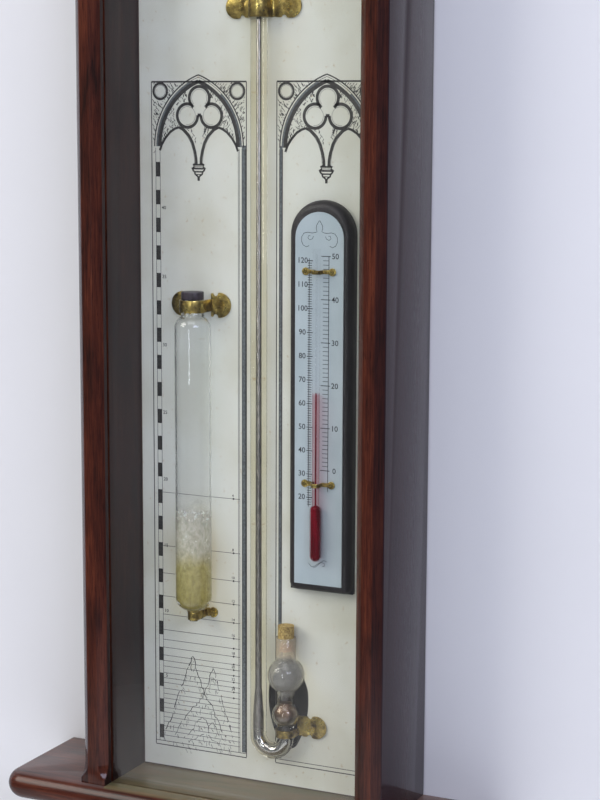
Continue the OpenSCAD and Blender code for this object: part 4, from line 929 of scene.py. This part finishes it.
class BarometerLook(bpy.types.PropertyGroup):
    """Sizes and colours a user would change."""
    arris: bpy.props.FloatProperty(
        name="Arris", description="Rounding of the case's worn edges", default=0.6, min=0.1, max=1.5)
    leaf: bpy.props.FloatProperty(
        name="Brass edge", description="Rounding of the brass clips' edges", default=0.18, min=0.05, max=0.4)
    wood_dark: bpy.props.StringProperty(
        name="Wood, dark", description="Darkest grain, sRGB hex", default="210d08")
    wood_mid: bpy.props.StringProperty(
        name="Wood, middle", description="Body of the wood, sRGB hex", default="431c11")
    wood_light: bpy.props.StringProperty(
        name="Wood, light", description="Lightest grain, sRGB hex", default="5c2c1b")
    ribs: bpy.props.IntProperty(
        name="Knurl ribs", description="Ribs round a knob", default=48, min=12, max=90)
    flakes: bpy.props.IntProperty(
        name="Crystals", description="Flakes in the storm glass", default=420, min=0, max=900)
    seed: bpy.props.IntProperty(name="Seed", description="Places of the flakes", default=4, min=0)
    key_light: bpy.props.FloatProperty(
        name="Key light", description="Power of the large lamp", default=63.5, min=0.0, subtype="POWER")
    fill_light: bpy.props.FloatProperty(
        name="Fill light", description="Power of the weak lamp", default=40.5, min=0.0, subtype="POWER")
    ceiling_light: bpy.props.FloatProperty(
        name="Ceiling light", description="Power of the lamp above", default=25.0, min=0.0, subtype="POWER")


def look():
    """The settings in use."""
    return bpy.context.scene.barometer_look


# Stage

def aim_camera(scene):
    """A camera that stands and looks as the photograph's did."""
    cam = bpy.data.cameras.new("Camera")
    cam.sensor_fit = "VERTICAL"
    cam.sensor_height = 36.0
    cam.lens = 85.86
    cam.clip_start = 0.01
    eye = bpy.data.objects.new("Camera", cam)
    scene.collection.objects.link(eye)
    yaw, pitch, roll = math.radians(25.13), math.radians(8.55), math.radians(0.22)
    ahead = Vector((-math.sin(yaw) * math.cos(pitch), math.cos(yaw) * math.cos(pitch), -math.sin(pitch)))
    right = Vector((math.cos(yaw), math.sin(yaw), 0.0))
    turn = Matrix((right, right.cross(ahead), -ahead)).transposed()
    eye.matrix_world = Matrix.Translation((0.506, -1.0457, -0.6138)) @ (
        turn @ Matrix.Rotation(roll, 3, "Z")).to_4x4()
    scene.camera = eye


def plaster_wall():
    """Painted plaster, seen only from the room's side, and open to lamps behind it."""
    material, tree = new_material("plaster wall, painted")
    tone = ramp(tree, noise(tree, [0.004] * 3, 3.0), (0.3, "e2e3e8"), (0.7, "e6e7ec"))
    back = add(tree, "ShaderNodeNewGeometry").outputs["Backfacing"]
    shadow = add(tree, "ShaderNodeLightPath").outputs["Is Shadow Ray"]
    paint = principled(tree, {"Base Color": tone, "Roughness": 0.8})
    thinned(tree, maths(tree, "MAXIMUM", back, shadow), paint)
    return material


def pale_floor(centre):
    """Matt pale floor that fades into the background towards its rim."""
    material, tree = new_material("pale floor, matt")
    tone = ramp(tree, noise(tree, [0.01] * 3, 3.0), (0.3, "cfcfce"), (0.7, "d4d4d3"))
    spot = add(tree, "ShaderNodeTexCoord")
    away = add(tree, "ShaderNodeVectorMath", {0: spot.outputs["Object"], 1: centre}, operation="DISTANCE")
    fade = fit(tree, away.outputs["Value"], 1.25, 2.05, how="SMOOTHSTEP")
    thinned(tree, fade, principled(tree, {"Base Color": tone, "Roughness": 0.7}))
    return material


def hang_lamp(name, where, aim, size, power, colour):
    """A rectangular lamp turned to a point."""
    light = bpy.data.lights.new(name, "AREA")
    light.shape = "RECTANGLE"
    light.size, light.size_y = size
    light.energy = power
    light.color = srgb(colour)[:3]
    holder = bpy.data.objects.new(name, light)
    bpy.context.scene.collection.objects.link(holder)
    holder.location = where
    holder.rotation_euler = (Vector(aim) - Vector(where)).to_track_quat("-Z", "Y").to_euler()


def pale_world():
    """A dim room that shows pale behind the case, to the eye and in metal and glass."""
    world = bpy.data.worlds.new("World")
    world.use_nodes = True
    tree = world.node_tree
    tree.nodes.clear()
    dim, pale = (add(tree, "ShaderNodeBackground", {"Color": tone, "Strength": power}).outputs[0]
                 for tone, power in (("e6eaf6", 0.18), ("e4e5ea", 1.0)))
    path = add(tree, "ShaderNodeLightPath").outputs
    way = add(tree, "ShaderNodeSeparateXYZ", {0: add(tree, "ShaderNodeTexCoord").outputs["Generated"]})
    glossy = maths(tree, "MAXIMUM", path["Is Glossy Ray"], path["Is Transmission Ray"])
    shown = maths(tree, "MULTIPLY", glossy, fit(tree, way.outputs[1], 0.0, 0.1))
    seen = maths(tree, "MAXIMUM", path["Is Camera Ray"], shown)
    sky = add(tree, "ShaderNodeMixShader", {0: seen, 1: dim, 2: pale})
    add(tree, "ShaderNodeOutputWorld", {"Surface": sky.outputs[0]})
    return world


# Operators, one for each piece or group of like pieces

class BAROMETER_OT_stage(bpy.types.Operator):
    """Camera, wall, floor, lamps and background"""
    bl_idname = "barometer.stage"
    bl_label = "Stage"

    def execute(self, context):
        scene = context.scene
        aim_camera(scene)
        # the wall stands 1.5 mm behind the case; the round floor lies well below it
        reach, low, high, gap = 2.2, -1.5, 1.4, 0.0015
        wall = bpy.data.meshes.new("wall")
        wall.from_pydata([(-reach, gap, low), (reach, gap, low), (reach, gap, high), (-reach, gap, high)],
                         [], [(0, 1, 2, 3)])
        wall.materials.append(plaster_wall())
        centre, radius, sides = (0.4, -0.5, low), 2.1, 96
        turns = [2 * math.pi * i / sides for i in range(sides)]
        rim = [(centre[0] + radius * math.cos(t), centre[1] + radius * math.sin(t), low) for t in turns]
        floor = bpy.data.meshes.new("floor")
        floor.from_pydata(rim, [], [tuple(range(sides))])
        floor.materials.append(pale_floor(centre))
        for mesh in (wall, floor):
            shown = bpy.data.objects.new(mesh.name, mesh)
            scene.collection.objects.link(shown)
        middle = (0.1, 0.0, -0.7)
        hang_lamp("key", (-2.1, -1.9, 0.9), (0.0, 0.0, -0.65), (2.0, 1.7), look().key_light, "fffbf3")
        hang_lamp("fill", (2.1, -1.7, 0.5), middle, (1.8, 1.0), look().fill_light, "dadffb")
        hang_lamp("ceiling", (0.3, -1.3, 1.7), middle, (2.2, 1.6), look().ceiling_light, "fbfbff")
        # a narrow bright window straight ahead draws the white lines on the glass
        hang_lamp("strip", (0.12, -2.1, -0.45), (0.0, 0.0, -0.75), (0.1, 1.1), 5.0, "f4f8ff")
        hang_lamp("back", (0.6, 2.2, 0.4), (0.0, 0.0, -0.5), (1.6, 1.6), look().fill_light * 0.8, "ffffff")
        scene.world = pale_world()
        scene.view_settings.view_transform = "Standard"
        return {"FINISHED"}


class BAROMETER_OT_case(bpy.types.Operator):
    """Side boards, shelf, top board, gable board and back board"""
    bl_idname = "barometer.case"
    bl_label = "Case"

    def execute(self, context):
        tones = (look().wood_dark, look().wood_mid, look().wood_light)
        upright = polished_mahogany("mahogany, french polished", "Z", tones)
        level = polished_mahogany("mahogany, french polished, level grain", "X", tones, 0.22, True)
        for node in ("left_side_board", "right_side_board"):
            softened(node, upright, look().arris)
        for node in ("base_shelf", "top_board", "pediment"):
            softened(node, level, look().arris)
        dress(["back_board"], rubbed_back_wood())
        iron = steel("iron screws, filed", "4a443e", "8d867c", 0.35)
        dress(["shelf_screws", "top_board_screws", "thermometer_board_screws"], iron)
        brass = lacquered_brass("brass plate, lacquered", along="Z")
        softened("hanging_plate", brass, 0.3)
        dress(["hanging_plate_screws"], lacquered_brass("brass screws, turned", True))
        return {"FINISHED"}


class BAROMETER_OT_charts(bpy.types.Operator):
    """Printed charts on rag paper"""
    bl_idname = "barometer.charts"
    bl_label = "Charts"

    def execute(self, context):
        paper = rag_paper()
        dress(["lower_chart", "upper_chart"], paper)
        s = Sketch(SHEET_FRONT + INK_T * 0.4)
        well_lip(s)
        s.piece("lower_chart_lip", paper, "printed_paper")
        black = printers_ink("printer's ink, black", "1b1918", "3a3733")
        grey = printers_ink("printer's ink, close hatching", "484d50", "6b7173")
        for name, draw in (("lower_print", lower_print), ("upper_print", upper_print)):
            s, tone = Sketch(SHEET_FRONT + INK_T), Sketch(SHEET_FRONT + INK_T * 0.6)
            draw(s, tone)
            s.piece(name, black, "printed_paper")
            tone.piece(name + "_tone", grey, "printed_paper")
        tree = marks_tree()
        marks("height_bars", tree, black, -71.0, -68.0, 23.2, 8.8, 16.9, 22)
        first = ZERO_LEVEL + INCH * 27
        for side, name in ((-1, "left"), (1, "right")):
            a, b, c = (TUBE_X + side * v for v in (15.0, 17.4, 20.4))
            marks(name + "_inch_tenths", tree, black, *sorted((a, b)), first, 0.22, INCH / 10, 41)
            marks(name + "_inch_lines", tree, black, *sorted((a, c)), first, 0.35, INCH, 5)
        return {"FINISHED"}


class BAROMETER_OT_front_glass(bpy.types.Operator):
    """The sheet of glass in the case's grooves"""
    bl_idname = "barometer.front_glass"
    bl_label = "Front glass"

    def execute(self, context):
        dress(["front_glass"], see_through("window glass, drawn", "fdffff", 1.45))
        return {"FINISHED"}


class BAROMETER_OT_barometer_tube(bpy.types.Operator):
    """The siphon tube with its mercury, cork and dark cup"""
    bl_idname = "barometer.barometer_tube"
    bl_label = "Barometer tube"

    def execute(self, context):
        tube = softened("barometer_tube", drawn_tubing(), 0.0001, 1, smooth=50)
        metal = softened("mercury", quicksilver(), 0.0001, 1, smooth=60)
        # the thick glass of the bend shows the mercury nearly as wide as the tube
        top, low = place(0, 0, 42).z, place(0, 0, 31).z
        swell = [(v, v.normal.copy()) for v in metal.data.vertices if v.co.z < top]
        for v, normal in swell:
            v.co += normal * (1.5 * MM * min(1.0, (top - v.co.z) / (top - low)))
        for piece in (tube, metal):
            narrow_bore(piece, 0.62)
        dress(["cistern_stopper"], bark_cork())
        dress(["cistern_well"], dark_finish("papier mache, japanned black", "141313", "262423", 0.4, 0.3))
        return {"FINISHED"}


class BAROMETER_OT_brass_clips(bpy.types.Operator):
    """Folded brass clips and their round-headed screws"""
    bl_idname = "barometer.brass_clips"
    bl_label = "Brass clips"

    def execute(self, context):
        sheet = lacquered_brass("brass sheet, folded and lacquered")
        for clip in ("upper_tube", "middle_tube", "cistern", "storm_glass_upper", "storm_glass_lower",
                     "thermometer_upper", "thermometer_lower"):
            softened(clip + "_clip", sheet, look().leaf)
        dress(["tube_clip_screws", "storm_clip_screws", "thermometer_pins"],
              lacquered_brass("brass screws, round headed", True))
        return {"FINISHED"}


class BAROMETER_OT_storm_glass(bpy.types.Operator):
    """The storm glass with its liquid, crystals and waxed cap"""
    bl_idname = "barometer.storm_glass"
    bl_label = "Storm glass"

    def execute(self, context):
        phial = see_through("thin glass phial, blown", "fdfefe", 1.1, 0.06, (0.08, 0.08, 0.01), 1.0)
        softened("storm_glass", phial, 0.0001, 1, smooth=60)
        # one standing column in place of the two parts below and above the crystals,
        # drawn nearly as wide as the phial, as its glass makes it look
        profile = [(0.0, 109.0), (5.2, 109.6), (8.4, 112.0), (10.1, 115.6), (10.6, 119.2), (10.6, 267.4),
                   (10.2, 268.0), (8.0, 267.6), (0.0, 267.4)]
        column = lathe("storm_spirit", STORM_X, STORM_Y, profile, 64, storm_spirit())
        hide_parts("storm_glass_liquid")
        crystal = crystal_flake()
        mesh = run_tree("crystal_flakes", flakes_tree(), {
            "Bottom": place(STORM_X, STORM_Y, 141.5), "Height": 0.03, "Radius": 0.01045,
            "Count": look().flakes, "Least": 0.0003, "Most": 0.001, "Seed": look().seed, "Crystal": crystal})
        flakes = finish_mesh("crystal_flakes", mesh, crystal, "case")
        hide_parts("storm_glass_crystals")
        wax = dark_finish("sealing wax, dark", "2c2428", "3e353e", 0.45, 0.1)
        softened("storm_glass_cap", wax, 0.25)
        return {"FINISHED"}


class BAROMETER_OT_thermometer(bpy.types.Operator):
    """The thermometer: black board, opal plate, tube, spirit and scale"""
    bl_idname = "barometer.thermometer"
    bl_label = "Thermometer"

    def execute(self, context):
        black = dark_finish("ebonised wood, waxed", "1a1718", "2b2728", 0.5, 0.08, (0.5, 0.5, 0.05))
        softened("thermometer_board", black, 0.8, 3)
        shortened("thermometer_plate", opal_plate(), 16.5, 1.6)
        shortened("thermometer_tube", thermometer_glass(), 4.0, 4.5)
        red = dark_finish("spirit, dyed red", "450518", "8a1034", 0.1, 0.12, (0.35, 0.2, 0.03), 0.0, 0.08)
        softened("thermometer_spirit", red, 0.0001, 1, smooth=60)
        ink = printers_ink("enamel ink, fired", "1c2024", "33383d")
        s = Sketch(PLATE_FRONT + INK_T)
        # height of 20 degrees Fahrenheit, and of one degree
        zero, step = 185.6, 1.412
        for f in range(20, 130, 10):
            s.number(str(f), 31.9, zero + step * (f - 20), 4.6)
        for c in range(0, 60, 10):
            s.number(str(c), 53.0, zero + step * (c * 1.8 + 12), 4.6)
        top = zero + step * 102
        s.line((36.3, zero - step * 4), (36.3, zero + step * 101), 0.4)
        s.line((48.9, zero + step * 3), (48.9, top), 0.45)
        s.line((44.2, top), (48.9, top), 0.25)
        # ogee trefoil over the scale, and a scroll under the bulb
        ogee = ((0.1, 350.4), (1.0, 349.0), (1.9, 347.4), (2.1, 345.6), (1.5, 343.9), (2.6, 343.4),
                (4.6, 343.0), (7.6, 343.4), (10.0, 342.8), (11.4, 340.6), (11.5, 338.0), (10.4, 335.8),
                (8.4, 334.8), (6.6, 335.6))
        curl = ((3.8, 341.2), (4.6, 339.6), (6.2, 339.0), (7.4, 340.0), (7.0, 341.4), (5.8, 341.4))
        for side in (-1, 1):
            for points, width in ((ogee, 0.34), (curl, 0.3)):
                s.path([(42.7 + side * p, q) for p, q in points], width)
        s.path([(36.6, 145.6), (38.4, 143.4), (40.8, 144.0), (42.8, 145.6), (45.0, 146.8), (47.2, 145.9),
                (47.0, 144.2), (45.6, 144.4)], 0.3)
        s.path([(39.6, 142.8), (41.8, 143.8), (44.2, 146.2), (46.4, 148.0), (48.6, 147.4)], 0.25)
        s.piece("thermometer_print", ink, "scale_plate")
        tree = marks_tree()
        freezing, celsius = zero + step * 12, step * 1.8
        for name, x0, x1, z, height, pitch, count in (
                ("fahrenheit_ticks", 35.4, 38.0, zero - step * 3, 0.42, step, 103),
                ("fahrenheit_tens", 34.9, 38.9, zero, 0.55, step * 10, 11),
                ("centigrade_ticks", 45.2, 48.9, freezing, 0.32, celsius, 51),
                ("centigrade_tens", 44.0, 50.0, freezing, 0.45, celsius * 10, 6)):
            marks(name, tree, ink, x0, x1, z, height, pitch, count, PLATE_FRONT, "scale_plate")
        return {"FINISHED"}


class BAROMETER_OT_pointers(bpy.types.Operator):
    """Racks, pointers, pinions, shafts, bearings and knurled knobs"""
    bl_idname = "barometer.pointers"
    bl_label = "Pointers and knobs"

    def execute(self, context):
        brass = lacquered_brass("brass bar, planed", along="Z")
        turned = lacquered_brass("brass rod, turned", True)
        tree = knurl_tree()
        for side in ("left", "right"):
            for part in ("rack", "upper_guide", "lower_guide", "bearing_bracket"):
                dress([f"{side}_{part}"], brass)
            for part in ("pinion", "bush", "knob"):
                dress([f"{side}_{part}"], turned)
            dress([f"{side}_pointer"], steel(f"blued steel, {side}", "1b2233", "39445c", 0.3))
            dress([f"{side}_shaft"], steel(f"steel rod, drawn, {side}", "77777a", "a6a6aa", 0.25))
            low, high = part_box(f"{side}_knob")
            # the ribs reach out to the rim
            mesh = run_tree(f"{side}_knurl", tree, {
                "Centre": (low + high) / 2, "Count": look().ribs, "Rim Radius": (high.z - low.z) / 2 - 0.0003,
                "Rib": Vector((0.0048, 0.0007, 0.0006)), "Metal": turned})
            finish_mesh(f"{side}_knurl", mesh, turned, f"{side}_drive")
        dress(["guide_screws"], turned)
        return {"FINISHED"}


class BAROMETER_PT_panel(bpy.types.Panel):
    """Lists the looks and the steps that make the barometer"""
    bl_idname = "BAROMETER_PT_panel"
    bl_label = "Barometer"
    bl_space_type = "VIEW_3D"
    bl_region_type = "UI"
    bl_category = "Barometer"

    def draw(self, context):
        for prop in BarometerLook.__annotations__:
            self.layout.prop(look(), prop)
        for step in STEPS:
            self.layout.operator(step.bl_idname)


STEPS = (
    BAROMETER_OT_stage, BAROMETER_OT_case, BAROMETER_OT_charts, BAROMETER_OT_barometer_tube,
    BAROMETER_OT_brass_clips, BAROMETER_OT_storm_glass, BAROMETER_OT_thermometer,
    BAROMETER_OT_pointers, BAROMETER_OT_front_glass,
)
CLASSES = (BarometerLook, *STEPS, BAROMETER_PT_panel)


def register():
    for kind in CLASSES:
        bpy.utils.register_class(kind)
    bpy.types.Scene.barometer_look = bpy.props.PointerProperty(type=BarometerLook)


def unregister():
    del bpy.types.Scene.barometer_look
    for kind in reversed(CLASSES):
        bpy.utils.unregister_class(kind)


def main():
    register()
    for step in STEPS:
        group, name = step.bl_idname.split(".")
        getattr(getattr(bpy.ops, group), name)()


if __name__ == "__main__":
    main()
